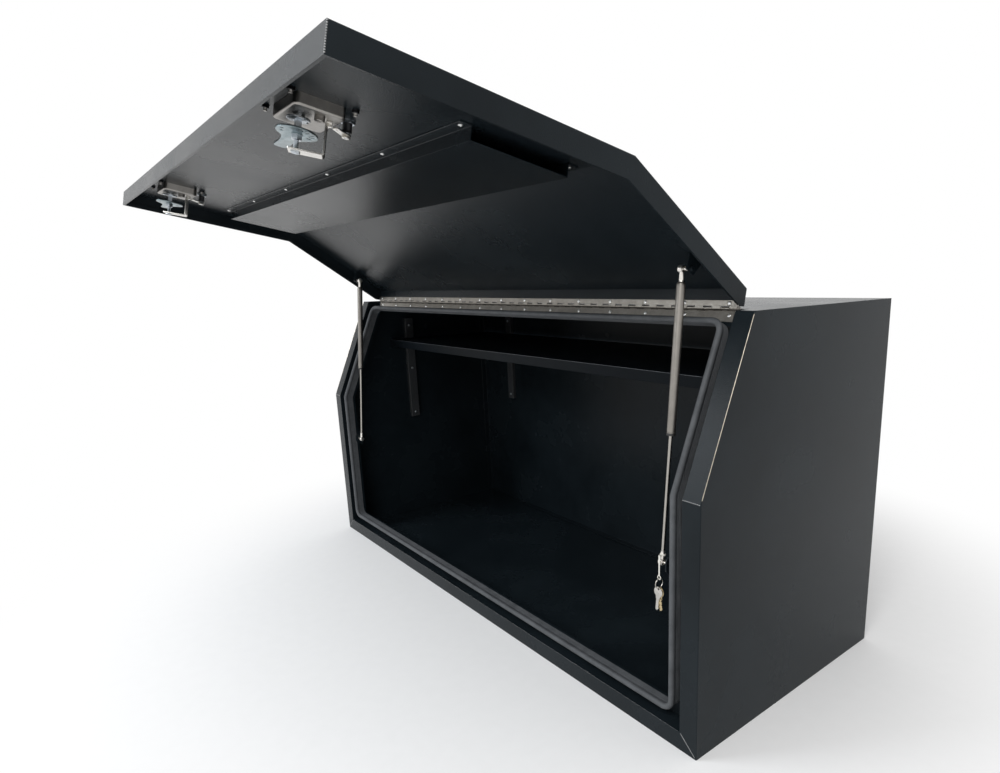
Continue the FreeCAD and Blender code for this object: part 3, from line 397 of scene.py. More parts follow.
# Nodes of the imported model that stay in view

FOLDED = ("side_panel", "base_panel", "top_panel", "back_panel", "lid_pan", "lid_stiffener",
          "shelf", "end_upright", "rear_upright", "strut_bracket")
# the shelf's coat is the darker copy that paints the interior's shade
OWN_COATS = {"shelf": SHADED_INNER_COAT, "end_upright": UPRIGHT_COAT, "rear_upright": UPRIGHT_COAT}
FOLD_RADIUS, FOLD_STEPS, FOLD_ANGLE = 0.0013, 3, math.radians(32)


def soften(obj):
    """Round the edges of a node, as folding and coating leave them."""
    weld = obj.modifiers.new("weld", "WELD")
    weld.merge_threshold = 0.00001
    edge = obj.modifiers.new("edge", "BEVEL")
    edge.width = FOLD_RADIUS
    edge.segments = FOLD_STEPS
    edge.limit_method = "ANGLE"
    edge.angle_limit = FOLD_ANGLE
    edge.harden_normals = True


def dress_nodes():
    slot_of = {row["node"]: row["material_slot"] for row in frame["record"]["subparts"]}
    for name, obj in nodes.items():
        coats = [coat for start, coat in OWN_COATS.items() if name.startswith(start)]
        obj.data.materials.clear()
        obj.data.materials.append(coats[0] if coats else MATS[slot_of[name]])
        if name.startswith(FOLDED):
            soften(obj)


# Hinge

KNUCKLES, KNUCKLE_GAP = 76, 0.5
LEAF_REACH_CABINET, LEAF_REACH_LID, TANG_OVERLAP = 27.0, 16.0, 1.0


def strip(draft, section, x0, x1):
    draft.loops([[(x, y, z) for y, z in section] for x in (x0, x1)])


def cabinet_section(s0, s1):
    outer, slant = RECESS - LEAF, 0.5
    return [slope_point(s0, outer), slope_point(s1 - slant, outer), slope_point(s1, outer + slant),
            slope_point(s1, RECESS), slope_point(s0, RECESS)]


def lid_section(back, front):
    top, low, slant = HEIGHT - SHEET, HEIGHT - SHEET - LEAF, 0.5
    return [(back, low), (front + slant, low), (front, low + slant), (front, top), (back, top)]


def knuckles(draft, first, tang):
    """Every second knuckle along the pin, each with the tang that joins it to its leaf."""
    pitch = 2 * HINGE_HALF / KNUCKLES
    bore, chamfer = PIN_R + 0.1, 0.4
    for k in range(first, KNUCKLES, 2):
        x0 = -HINGE_HALF + k * pitch + KNUCKLE_GAP / 2
        x1 = x0 + pitch - KNUCKLE_GAP
        long = x1 - x0
        profile = [(0, bore), (0, KNUCKLE_R - chamfer), (0.3, KNUCKLE_R),
                   (long - 0.3, KNUCKLE_R), (long, KNUCKLE_R - chamfer), (long, bore)]
        draft.turned(profile, (x0, HINGE_Y, HINGE_Z), RIGHT, 20)
        strip(draft, tang, x0, x1)


def make_hinge():
    clear = KNUCKLE_R + LEAF_GAP
    sides = (
        ("hinge_leaf_cabinet", "cabinet", CABINET, 0,
         cabinet_section(HINGE_S + clear, HINGE_S + LEAF_REACH_CABINET),
         cabinet_section(HINGE_S, HINGE_S + clear + TANG_OVERLAP)),
        ("hinge_leaf_lid", "lid", LID, 1,
         lid_section(HINGE_Y - clear, HINGE_Y - LEAF_REACH_LID),
         lid_section(HINGE_Y, HINGE_Y - clear - TANG_OVERLAP)),
    )
    for node, body, place, first, leaf, tang in sides:
        draft = Draft()
        strip(draft, leaf, -HINGE_HALF, HINGE_HALF)
        knuckles(draft, first, tang)
        piece(node + "_fine", body, draft, place, "stainless", replaces=[node])


# Rivets and screws

RIVET_SIZE = 1.12
RIVET_HEAD = [(0, 4.0), (0.35, 4.0), (0.85, 3.7), (1.3, 2.9), (1.55, 1.9), (1.6, 1.3), (1.15, 1.1),
              (1.1, 0.2)]
HINGE_RIVETS, HINGE_RIVET_PITCH, HINGE_RIVET_START = 15, 116, 23
STIFFENER_TOP, STIFFENER_TALL, STIFFENER_FLANGE = FRONT_HEIGHT - 30, 200, 10.5


def rivets(node, body, place, way, spots):
    """Domed heads with their small pit."""
    head = [(up * RIVET_SIZE, r * RIVET_SIZE) for up, r in RIVET_HEAD]
    draft = Draft()
    for spot in spots:
        draft.turned(head, spot, way, 20)
    piece(node + "_domed", body, draft, place, "rivet_aluminium", replaces=[node])


def make_rivets():
    along = [-HINGE_HALF + HINGE_RIVET_START + k * HINGE_RIVET_PITCH for k in range(HINGE_RIVETS)]
    slope_out = Vector((0, -math.cos(TILT), math.sin(TILT)))
    below_pin, ahead_of_pin = 14, 9.5
    rivets("hinge_rivets_cabinet", "cabinet", CABINET, slope_out,
           [(x, *slope_point(HINGE_S + below_pin, RECESS - LEAF)) for x in along])
    rivets("hinge_rivets_lid", "lid", LID, DOWN,
           [(x, HINGE_Y - ahead_of_pin, HEIGHT - SHEET - LEAF) for x in along])
    rows = (STIFFENER_TOP - STIFFENER_TALL - STIFFENER_FLANGE, STIFFENER_TOP + STIFFENER_FLANGE)
    rivets("stiffener_rivets", "lid", LID, BACK,
           [(-700 + 280 * k, SHEET + 2.0, z) for k in range(6) for z in rows])


def screw(draft, place, way):
    """Pan head with a hexagon socket."""
    draft.turned([(0, 5.0), (0.9, 5.0), (1.7, 4.5), (2.25, 3.5), (2.45, 2.4)], place, way, 24)
    socket_at = Vector(place) + Vector(way) * 2.3
    draft.turned([(0, 2.2), (0.17, 2.3), (0.17, 1.7), (-1.2, 1.6)], socket_at, way, 6)


def make_screws():
    """Screws of the end uprights on the side panels and of the rear uprights on the back."""
    end_x, end_y, end_heights = 882.5, 327.5, (434.0, 620.5, 797.0)
    rear_x, rear_y, rear_heights = 685.0, 682.5, (485.0, 646.0, 797.0)
    draft = Draft()
    for side in (-1, 1):
        for z in end_heights:
            screw(draft, (side * end_x, end_y, z), (-side, 0, 0))
        for z in rear_heights:
            screw(draft, (side * rear_x, rear_y, z), (0, -1, 0))
    piece("upright_screws_domed", "cabinet", draft, CABINET, "zinc", replaces=["upright_screws"])


# Welds and painted edge highlights

LID_RIPPLE = [(-0.9, 0.3), (-0.6, 0.9), (0, 1.15), (0.6, 0.9), (0.9, 0.3)]
JOINT_RIPPLE = [(-1.6, 0.2), (-1.1, 0.75), (0, 0.95), (1.1, 0.75), (1.6, 0.2)]
FRONT_STRIP_X = 857.0


def bead(draft, a, b, r):
    """Slim raised line between two points."""
    a, b = Vector(a), Vector(b)
    long = (b - a).length
    draft.turned([(0, r * 0.4), (1.5, r), (long - 1.5, r), (long, r * 0.4)], a, (b - a).normalized(), 8)


def make_welds():
    """Dressed weld beads at the corners of the lid's bottom flange."""
    start, pitch, sunk = 2.0, 2.95, 0.6
    draft = Draft()
    for sign in (-1, 1):
        for k in range(13):
            place = (sign * (LID_HALF - sunk), start + pitch * k, LID_LOW + sunk)
            draft.turned(LID_RIPPLE, place, (0, 1, 0.2 * (k % 2)), 10)
    piece("lid_corner_welds", "lid", draft, LID, "black_powder_coat", WELD_GREY)


def make_edge_highlights_and_welds():
    """Painted highlights as bright beads along the slope strip's fold edges, the front strip's inner
    edge and the shelf's front edge, and the dressed weld joints at the corners of the cabinet's front
    frame.
    """
    edges, joints, shelf = Draft(), Draft(), Draft()
    seam_z, shelf_half, shelf_y, shelf_z = 41.6, 872, 240.35, 744.6
    for sign in (-1, 1):
        # painted highlight: a bright metal bead down each fold edge of the slope strip
        slope = [(sign * (HALF_W - 0.80), *slope_point(s, 0.45)) for s in (6.0, 372.0)]
        bead(edges, *slope, 0.75)
        bead(joints, (sign * FRONT_STRIP_X, 0.1, 40.0), (sign * 896, 0.1, 3.6), 0.6)
        for k in range(9):
            place = (sign * (FRONT_STRIP_X + 4.9 * k), 0.2, FRONT_HEIGHT)
            joints.turned(JOINT_RIPPLE, place, (1, 0, 0.25 * (k % 2)), 8)
    # painted highlight: a pale bare-metal bead along the front strip's inner edge stands in for the
    # light line on that edge
    bead(joints, (4 - FRONT_STRIP_X, 0.35, seam_z), (FRONT_STRIP_X - 4, 0.35, seam_z), 0.4)
    # painted highlight: a pale bead along the shelf's front edge
    bead(shelf, (-shelf_half, shelf_y, shelf_z), (shelf_half, shelf_y, shelf_z), 0.6)
    for name, draft, material in (("shelf_front_edge", shelf, SHELF_EDGE_HIGHLIGHT),
                                  ("worn_fold_edges", edges, FOLD_HIGHLIGHT_METAL),
                                  ("frame_joint_beads", joints, WELD_GREY)):
        piece(name, "cabinet", draft, CABINET, "black_powder_coat", material)


# Seal

SEAL_BEND, SEAL_BEND_STEPS = 25.0, 9


def seal_section():
    """(across, depth) outline: a round bulb on a ribbed grip with a slot for the lip."""
    bulb, grip, tip, end, slot, slot_top = 6.6, 4.2, 3.2, 35.0, SHEET / 2 + 0.1, 21.4
    first_rib, rib_pitch, rib_deep = 18.5, 4.0, 0.9
    neck = math.degrees(math.asin(grip / bulb))
    ribs = []
    for k in range(4):
        d = first_rib + rib_pitch * k
        ribs += [(grip, d), (grip - rib_deep, d + 0.5), (grip - rib_deep, d + 1.6), (grip, d + 2.1)]
    return (arc(0, tip + bulb, bulb, 90 - neck, neck - 270, 22) + [(-u, d) for u, d in ribs]
            + [(-grip, end), (-slot, end), (-slot, slot_top), (slot, slot_top), (slot, end), (grip, end)]
            + ribs[::-1])


def seal_path():
    """Centre, outward way and inward way at each station, up the right half of the opening."""
    mid_x, mid_z, mid_s = LIP_X - SHEET / 2, LIP_Z + SHEET / 2, TOP_CHANNEL + SHEET / 2
    slope_in = Vector((0, math.cos(TILT), -math.sin(TILT)))
    slope_up = Vector((0, math.sin(TILT), math.cos(TILT)))
    turns = [math.radians(90.0 * k / SEAL_BEND_STEPS) for k in range(SEAL_BEND_STEPS + 1)]
    low = Vector((mid_x - SEAL_BEND, 0, mid_z + SEAL_BEND))
    top = Vector((mid_x - SEAL_BEND, *slope_point(mid_s + SEAL_BEND, 0)))
    path = []
    for a in turns:
        across = Vector((math.sin(a), 0, -math.cos(a)))
        path.append((low + across * SEAL_BEND, across, Vector(BACK)))
    path.append((Vector((mid_x, 0, FRONT_HEIGHT)), Vector(RIGHT), Vector((0, 1, -math.tan(TILT / 2)))))
    for a in turns:
        across = Vector(RIGHT) * math.cos(a) + slope_up * math.sin(a)
        path.append((top + across * SEAL_BEND, across, slope_in))
    return path


def make_seal():
    section, half = seal_section(), seal_path()
    whole = half + [tuple(mirrored(v, -1) for v in station) for station in reversed(half)]
    loops = [[p + across * u + inward * d for u, d in section] for p, across, inward in whole]
    draft = Draft()
    draft.loops(loops + [loops[0]], False, False)
    piece("door_seal_fine", "cabinet", draft, CABINET, "seal_rubber", replaces=["door_seal"], smooth=40)


# Nuts and threads

def hex_nut(draft, place, way, across, thick, bore=0.0, spin=0.3):
    r = across / math.sqrt(3)
    rim = [(0, r * 0.92), (thick * 0.08, r), (thick * 0.9, r), (thick, r * 0.9)]
    if bore:
        rim = [(0, bore)] + rim + [(thick, bore + 0.5), (thick - 0.5, bore), (0, bore)]
    draft.turned(rim, place, way, 6, spin)


def thread(draft, place, way, r, length, pitch=1.25):
    tip = 0.6
    line = [(0, r - 0.4)]
    k = 0
    while (k + 1) * pitch < length - tip:
        line += [(k * pitch + 0.15, r - 0.35), (k * pitch + 0.55 * pitch, r)]
        k += 1
    line += [(length - tip, r), (length, r - tip)]
    draft.turned(line, place, way, 20)


# Latches, drawn about the spindle: u to the right, v up, depth d behind the lid's face

STUDS = [(u, v) for u in (-62, 62) for v in (-33, 65)]
PLATE = (70.0, -43.0, 91.0, 10.0)
POCKET = (56.0, -25.0, 55.0, 10.0)
DISH_FRONT, DISH_DEEP, DISH_SHEET, DISH_BEND = -1.5, 21.0, 1.2, 4.0
HUB_R, HUB_BACK, CROSS_PIN_D = 12.0, 19.4, 8.0
DISC_R, DISC_FRONT, DISC_BACK = 18.0, 24.0, 27.0
ARM_FRONT, ARM_BACK = 45.3, 48.3
BARREL_FACE, PLUG_R, CAM_FRONT, CAM_BACK = -4.0, 5.3, 25.0, 27.5


def latch_frame(x):
    return lambda u, v, d: (x + u, d, LATCH_Z + v)


def even_ring(half, low, high, r, corner=7, side=5):
    """Rounded rectangle with equally many points whatever its size."""
    points = []
    middles = [(half - r, low + r), (half - r, high - r), (-half + r, high - r), (-half + r, low + r)]
    for k, (cu, cv) in enumerate(middles):
        turn = arc(cu, cv, r, -90 + 90 * k, 90 * k, corner)
        points += turn
        nu, nv = middles[(k + 1) % 4]
        a = math.radians(90 * k)
        end = (nu + r * math.cos(a), nv + r * math.sin(a))
        start = turn[-1]
        points += [tuple(s + (e - s) * i / side for s, e in zip(start, end)) for i in range(1, side)]
    return points


def inset_ring(shape, cut):
    half, low, high, r = shape
    return even_ring(half - cut, low + cut, high - cut, r - cut)


def pocket_bend(cut, r, steps):
    """Rings of the bend from the pocket's wall to its floor."""
    turns = [math.radians(15 * k) for k in steps]
    start = DISH_DEEP - DISH_BEND
    return [(inset_ring(POCKET, cut + r * (1 - math.cos(a))), start + r * math.sin(a)) for a in turns]


def latch_dish(draft, at):
    """Pressed plate with a pocket for the handle, its four studs and a rest for the spindle."""
    plate = inset_ring(PLATE, 0.0)
    floor = even_ring(44, -13, 43, 4)
    inside = DISH_DEEP - DISH_SHEET

    def about_spindle(r):
        return [tuple(c * r / math.hypot(*p) for c in p) for p in floor]

    rings = [(inset_ring(PLATE, 0.6), DISH_FRONT), (plate, DISH_FRONT + 0.6), (plate, 0.0)]
    rings += [(inset_ring(POCKET, cut), d) for cut, d in ((-1.2, 0.0), (-0.3, 0.9), (0.0, 3.0))]
    rings += pocket_bend(0.0, DISH_BEND, range(7))
    rings += [(floor, DISH_DEEP), (about_spindle(12.5), DISH_DEEP)]
    rings += [(about_spindle(r), d) for r, d in ((11.5, 20.6), (9.2, 20.6), (9.2, inside))]
    rings += [(floor, inside)] + pocket_bend(DISH_SHEET, DISH_BEND - DISH_SHEET, range(5, -1, -1))
    rings += [(inset_ring(POCKET, DISH_SHEET), 0.6), (inset_ring(POCKET, 0.0), DISH_FRONT)]
    placed = [[at(u, v, d) for u, v in ring] for ring, d in rings]
    draft.loops(placed + placed[:1], False, False)
    for u, v in STUDS:
        thread(draft, at(u, v, 0), BACK, 3.0, 12.0, 1.0)
    rest = [(0, 7.4), (0.5, 8.0), (6.8, 8.0), (7.6, 7.4), (8.0, 6.4), (8.0, 3.0), (6.4, 2.6), (6.4, 0.5)]
    draft.turned(rest, at(31, 22, 20.6), BACK, 32)


def latch_spindle(draft, at):
    """Hub slotted for the handle, cross pin, square shaft, nuts and threaded end."""
    slot_angle, cheek_front, cheek_back = 22.1, 2.0, 14.0
    pin_half, inner_nut, end_nut = 10, 9.0, 72.4
    for sign in (-1, 1):
        cheek = [(u, sign * v) for u, v in arc(0, 0, HUB_R, slot_angle, 180 - slot_angle, 14)]
        draft.plate(cheek[::sign], cheek_front, cheek_back, at, 0.5)
    draft.plate(circle(HUB_R, 40), cheek_back, HUB_BACK, at, 0.4)
    cross_pin = [(0, 2.1), (0.4, 2.5), (2 * pin_half - 0.4, 2.5), (2 * pin_half, 2.1)]
    draft.turned(cross_pin, at(0, -pin_half, CROSS_PIN_D), UP, 20)
    draft.turned([(0, 9.0), (4.3, 9.0), (4.6, 8.7)], at(0, 0, HUB_BACK), BACK, 40)
    draft.plate(square(4.5), 24.0, ARM_BACK, at, 0.5)
    hex_nut(draft, at(0, 0, ARM_BACK), BACK, 15.0, inner_nut, spin=0.2)
    thread(draft, at(0, 0, ARM_BACK + inner_nut), BACK, 3.8, 20.7)
    hex_nut(draft, at(0, 0, end_nut), BACK, 13.0, 5.0, spin=0.5)


def latch_disc(draft, at):
    """Disc with notches above, to the left and to the right."""
    outline = (arc(0, 0, DISC_R, 20, 70, 10) + [(5, 17.2), (4.4, 13), (-4.4, 13), (-5, 17.2)]
               + arc(0, 0, DISC_R, 110, 165, 11) + [(-17.5, 4), (-14, 3.6), (-14, -3.6), (-17.5, -4)]
               + arc(0, 0, DISC_R, 195, 340, 29) + [(17.2, -5), (13, -4.4), (13, 4.4), (17.2, 5)])
    draft.cut([outline], DISC_FRONT, DISC_BACK, at, 0.4)


def latch_arm(draft, at):
    """Rotor with two ears and five slots, and the tongue that reaches behind the channel."""
    rim = []
    for k in range(56):
        a = math.radians(-138 + 271 * k / 55)
        r = 30.5 + 5.0 * math.cos(a + math.radians(38)) ** 2
        rim.append((r * math.cos(a), r * math.sin(a)))
    end = -107.0
    tongue = [rim[-1], (-42, 17), (-58, 14.5), (end + 22, 16), (end + 8, 17), (end + 1, 13), (end, 5),
              (end + 3, -3), (end + 12, -6), (-62, -8), (-34, -13.5), rim[0]]
    slot = arc(25.2, 0, 1.8, -90, 90, 8) + arc(19.8, 0, 1.8, 90, 270, 8)
    holes = []
    for k in range(5):
        a = math.radians(27 * k)
        out, over = Vector((math.cos(a), math.sin(a))), Vector((-math.sin(a), math.cos(a)))
        holes.append([tuple(out * p + over * q) for p, q in slot])
    holes += [circle(2.4, 20, u, v) for u, v in ((9.0, -25.0), (-4.0, -22.0))]
    draft.cut([rim + smooth_line(tongue)[1:]] + holes, ARM_FRONT, ARM_BACK, at, 0.35)
    draft.turned([(0, 8.6), (0.9, 8.6), (1.2, 8.2)], at(0, 0, ARM_BACK), BACK, 32)


def bent_strip(line, t, r_in):
    """Outline of a strip of thickness t that follows a line with square bends, to its left."""
    left, right = [], []
    for k, p in enumerate(line):
        p = Vector(p)
        if k in (0, len(line) - 1):
            way = (Vector(line[1]) - p) if k == 0 else (p - Vector(line[k - 1]))
            normal = Vector((-way.y, way.x)).normalized()
            right.append(tuple(p))
            left.append(tuple(p + normal * t))
            continue
        a = (p - Vector(line[k - 1])).normalized()
        b = (Vector(line[k + 1]) - p).normalized()
        na, nb = Vector((-a.y, a.x)), Vector((-b.y, b.x))
        turn_left = a.x * b.y - a.y * b.x > 0
        r_right, r_left = (r_in + t, r_in) if turn_left else (r_in, r_in + t)
        start = -na if turn_left else na
        for side, base, r in ((right, p, r_right), (left, p + (na + nb) * t, r_left)):
            centre = base + (b - a) * r
            for s in range(6):
                w = math.radians(18 * s)
                side.append(tuple(centre + (start * math.cos(w) + a * math.sin(w)) * r))
    return right + left[::-1]


def latch_strap(draft, at):
    """Cranked strap from the dish over the rotor to the spindle's inner end."""
    lean, half_wide = math.radians(68), 13
    out = Vector((math.cos(lean), math.sin(lean)))
    over = Vector((-out.y, out.x))

    def place(a, d, b):
        p = out * a + over * b
        return at(p.x, p.y, d)

    profile = bent_strip([(-11, 72), (40, 72), (40, 21), (50, 21)], 3.0, 1.2)
    draft.plate(profile, -half_wide, half_wide, place, 0.4)
    hex_nut(draft, place(45.5, 24, 0), BACK, 8.0, 3.2, spin=0.4)


def latch_cam(draft, at):
    """Cam of the key barrel, with its nut."""
    lean = math.radians(37)
    down = Vector((math.sin(lean), -math.cos(lean)))
    over = Vector((-down.y, down.x))

    def place(a, b, d):
        p = down * a + over * b
        return at(p.x, p.y + BARREL_UP, d)

    outline = arc(27.6, 0, 6.4, -90, 90, 12) + arc(0, 0, 8.2, 90, 270, 16)
    draft.cut([outline, circle(1.6, 12, 27.0)], CAM_FRONT, CAM_BACK, place, 0.3)
    hex_nut(draft, at(0, BARREL_UP, CAM_BACK), BACK, 13.0, 3.5, bore=3.4)


def latch_barrel(draft, at):
    """Collar outside the lid and the threaded barrel inside."""
    bore = 5.6
    rim = [(0, bore), (0, 9.6), (0.7, 10.7), (1.4, 11.0), (2.5, 11.0), (2.5, bore), (0, bore)]
    draft.turned(rim, at(0, BARREL_UP, BARREL_FACE), BACK, 48)
    bore, r = 5.5, 8.0
    line = [(0, bore), (0, r)]
    for k in range(13):
        line += [(3.0 + 1.4 * k, r - 0.5), (3.7 + 1.4 * k, r)]
    line += [(23.4, r), (24.0, r - 0.6), (24.0, bore), (0, bore)]
    draft.turned(line, at(0, BARREL_UP, BARREL_FACE + 2.5), BACK, 32)


def barrel_nut(draft, at):
    """Thin nut with a toothed washer face."""
    sides, washer, tooth, across = 48, 12.6, 0.7, 11.0
    turns = [2 * math.pi * k / sides for k in range(sides)]
    toothed = [washer - (tooth if k % 2 else 0) for k in range(sides)]
    stations = [(2.5, toothed), (3.3, toothed)]
    for d, r in ((3.4, across), (7.0, across), (7.5, across - 0.7)):
        stations.append((d, [r / math.cos((a % (math.pi / 3)) - math.pi / 6) for a in turns]))
    draft.loops([[at(r * math.cos(a), BARREL_UP + r * math.sin(a), d) for a, r in zip(turns, radii)]
                 for d, radii in stations])


def latch_plug(draft, at):
    """Key plug with its slot, its square end and the screw's head."""
    def place(u, v, d):
        return at(u, v + BARREL_UP, d)

    for sign in (-1, 1):
        half = [(0.6, -5.2)] + arc(0, 0, PLUG_R, -82, 74, 13) + [(0.6, 5.2)]
        draft.plate([(sign * u, sign * v) for u, v in half], -3.7, 0.0, place, 0.25)
    draft.turned([(0, PLUG_R), (22.6, PLUG_R)], place(0, 0, -1.2), BACK, 32)
    draft.plate(square(3), 22.7, 27.2, place, 0.3)
    draft.turned([(0, 2.6), (3.2, 2.6), (3.6, 2.2)], place(0, 0, 27.2), BACK, 20)


def latch_handle(draft, at):
    """T handle: an eye on the cross pin, a flat neck that widens and a ribbed bar."""
    eye = [(0, 2.65), (0, 4.4), (0.5, 5.0), (7.5, 5.0), (8, 4.4), (8, 2.65), (0, 2.65)]
    draft.turned(eye, at(0, -4, CROSS_PIN_D), UP, 28)
    bar_r, bar_long = 4.6, 42
    tip = CROSS_PIN_D - 46 + bar_r
    neck = ((3.6, 4.0), (-4.0, 4.2), (-12.0, 5.2), (-19.0, 7.6), (-25.0, 10.6), (tip + 2.0, 12.0))
    draft.loops([[at(u, v, d) for u, v in even_ring(3.9, -half, half, 1.6, 3, 2)] for d, half in neck])
    line = [(0, 2.4), (0.9, 3.9), (2.2, 4.4)]
    for k in range(11):
        d = 4.0 + 3.2 * k
        line += [(d, bar_r), (d + 1.2, bar_r), (d + 1.7, 4.2), (d + 2.7, 4.2)]
    line += [(bar_long - 2.2, 4.4), (bar_long - 0.9, 3.9), (bar_long, 2.4)]
    draft.turned(line, at(0, -bar_long / 2, tip), UP, 28)


LATCH_ROWS = (
    ("latch_dish", "lid", latch_dish, "stainless", STEEL_DISH),
    ("latch_spindle", "latch_turn_", latch_spindle, "zinc", None),
    ("latch_disc", "latch_turn_", latch_disc, "zinc", None),
    ("latch_arm", "latch_turn_", latch_arm, "zinc", BLUE_ZINC),
    ("latch_strap", "lid", latch_strap, "stainless", STEEL_BRIGHT),
    ("latch_barrel", "lid", latch_barrel, "latch_black", None),
    ("latch_plug", "latch_lock_", latch_plug, "zinc", None),
    ("latch_cam", "latch_lock_", latch_cam, "zinc", STEEL_BRIGHT),
    ("latch_handle", "latch_pull_", latch_handle, "latch_black", None),
)


def make_latches():
    nuts = Draft()
    for side, x in (("right", LATCH_X), ("left", -LATCH_X)):
        at = latch_frame(x)
        for name, body, draw, slot, material in LATCH_ROWS:
            draft = Draft()
            draw(draft, at)
            node = f"{name}_{side}"
            rides = body if body == "lid" else body + side
            piece(node + "_fine", rides, draft, LID, slot, material, [node])
        draft = Draft()
        barrel_nut(draft, at)
        piece(f"latch_barrel_nut_{side}", "lid", draft, LID, "zinc")
        for u, v in STUDS:
            hex_nut(nuts, at(u, v, SHEET), BACK, 10.0, 5.0, bore=3.05, spin=0.1 * u)
            nuts.turned([(0, 6.4), (0.6, 6.4)], at(u, v, SHEET), BACK, 24)
    piece("latch_nuts_fine", "lid", nuts, LID, "zinc", DARK_NUT, ["latch_nuts"])


# Struts

TOP = SWING @ Vector((STRUT_X, *slope_point(STRUT_TOP_S, STRUT_TOP_D)))
LOW = Vector((STRUT_X, *STRUT_LOW))
ALONG = (TOP - LOW).normalized()
TUBE_SHORTER = 16.0  # the photograph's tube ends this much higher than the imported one
TUBE_START = (TOP - LOW).length - UPPER_REACH - TUBE_LONG + TUBE_SHORTER
BALL_R, STUD_R, TUBE_R = 5.0, 2.8, 9.0


def socket(draft, ball, way, reach, side):
    """Cup over the ball and the neck that is screwed to the rod or tube."""
    ball, way = mirrored(ball, side), mirrored(way, side)
    cup = [(-7.0, 0.2), (-7.0, 5.6), (-6.4, 7.1), (-5.2, 7.9), (-4.0, 8.0), (3.4, 8.0), (4.2, 7.7),
           (4.5, 7.2), (4.5, 5.5), (2.0, 5.45), (-2.0, 5.3), (-4.6, 3.2), (-5.2, 0.2)]
    draft.turned(cup, ball, (side, 0, 0), 40)
    inner, r = 5.6, 4.9
    long = reach - inner
    neck = [(0, r), (long - 3.9, r), (long - 3.0, r - 0.3), (long - 2.4, r - 0.3), (long - 1.8, r),
            (long - 0.5, r), (long, r - 0.5)]
    draft.turned(neck, ball + way * inner, way, 28)


def ball_stud(draft, ball, reach, side):
    """Ball, shank with its collar, and the nut behind the bracket."""
    ball, out = mirrored(ball, side), Vector((side, 0, 0))
    line = arc(0, 0, BALL_R, 168, 36, 11)
    line += [(5.2, STUD_R), (12.0, STUD_R), (12.2, 4.6), (13.6, 4.6), (13.8, STUD_R), (reach, STUD_R)]
    draft.turned(line, ball, out, 28)
    hex_nut(draft, ball + out * 14.6, out, 9.0, 4.6)


def strut_tube(draft, start, way):
    """Hollow up to the piston, with a rolled groove near its lower end and a domed top."""
    bore, long = 4.3, TUBE_LONG - TUBE_SHORTER
    line = [(212.5, bore), (0.0, bore), (0.0, 7.4), (0.6, 8.4), (1.6, TUBE_R), (6.0, TUBE_R), (6.3, 8.7),
            (7.1, 8.7), (7.4, TUBE_R), (long - 6.0, TUBE_R), (long - 3.0, 8.6), (long - 0.8, 7.4),
            (long, 5.4)]
    draft.turned(line, start, way, 40)


def seal_cap(draft, start, way):
    """Moulded cap over the tube's lower end."""
    line = [(-0.4, 4.4), (-0.4, 7.2), (0.3, 9.25), (4.6, 9.25), (5.0, 9.05), (5.0, 8.2), (0.8, 8.2),
            (0.8, 4.4), (-0.4, 4.4)]
    draft.turned(line, start, way, 40)


def make_struts():
    for side, sign in (("right", 1), ("left", -1)):
        way = mirrored(ALONG, sign)
        start = mirrored(LOW, sign) + way * TUBE_START
        tube_body = "strut_tube_" + side
        rows = (
            (socket, (LOW, ALONG, LOWER_REACH, sign), "strut_socket_lower_fine_", "strut_rod_" + side,
             "zinc", SOCKET_BRIGHT, ["strut_socket_lower_" + side]),
            (socket, (TOP, -ALONG, UPPER_REACH, sign), "strut_socket_upper_fine_", tube_body,
             "zinc", SOCKET_BRIGHT, ["strut_socket_upper_" + side]),
            (strut_tube, (start, way), "strut_tube_fine_", tube_body,
             "strut_body", None, ["strut_tube_" + side]),
            (seal_cap, (start, way), "strut_seal_cap_", tube_body, "black_plastic", None, ()),
            (ball_stud, (TOP, 19.7, sign), "ball_stud_upper_fine_", tube_body,
             "zinc", SOCKET_BRIGHT, ["ball_stud_upper_" + side]),
        )
        for draw, values, name, body, slot, material, replaces in rows:
            draft = Draft()
            draw(draft, *values)
            piece(name + side, body, draft, CABINET, slot, material, replaces)
    draft = Draft()
    for sign in (1, -1):
        ball_stud(draft, LOW, 20.0, sign)
    piece("ball_studs_lower_fine", "cabinet", draft, CABINET, "zinc", SOCKET_BRIGHT,
          ["ball_studs_lower"])


# Keys on their tie

RING_Z, RING_R, RING_INNER = 339.45, 11.0, 10.1
TIE_Y, TIE_LOW = 26.4, 352.5
EYE_R, BOW_R, KEY_LONG, KEY_THICK = 2.6, 11.5, 54.0, 2.2
BITES_ONE, BITES_TWO = (2.0, 1.2, 2.4, 1.6, 0.9), (1.2, 2.2, 1.0, 2.4, 1.4)


def key_ring():
    """Split ring: flat wire wound almost twice, crossing over half-way."""
    turns, steps, wire, half_wide = 1.9, 76, 0.85, 0.42
    loops = []
    for k in range(steps + 1):
        a = 2 * math.pi * turns * k / steps + 0.6
        shift = -half_wide + 2 * half_wide * min(1.0, max(0.0, (k / steps - 0.44) * 8))
        spoke = Vector((0, math.cos(a), math.sin(a)))
        centre = Vector((STRUT_X + shift, TIE_Y + RING_R * spoke.y, RING_Z + RING_R * spoke.z))
        loops.append([centre + spoke * wire * math.cos(b) + Vector((half_wide, 0, 0)) * math.sin(b)
                      for b in (2 * math.pi * i / 10 for i in range(10))])
    draft = Draft()
    draft.loops(loops)
    piece("key_ring_split", "keys", draft, CABINET, "key_metal", SOCKET_BRIGHT, ["key_ring"])


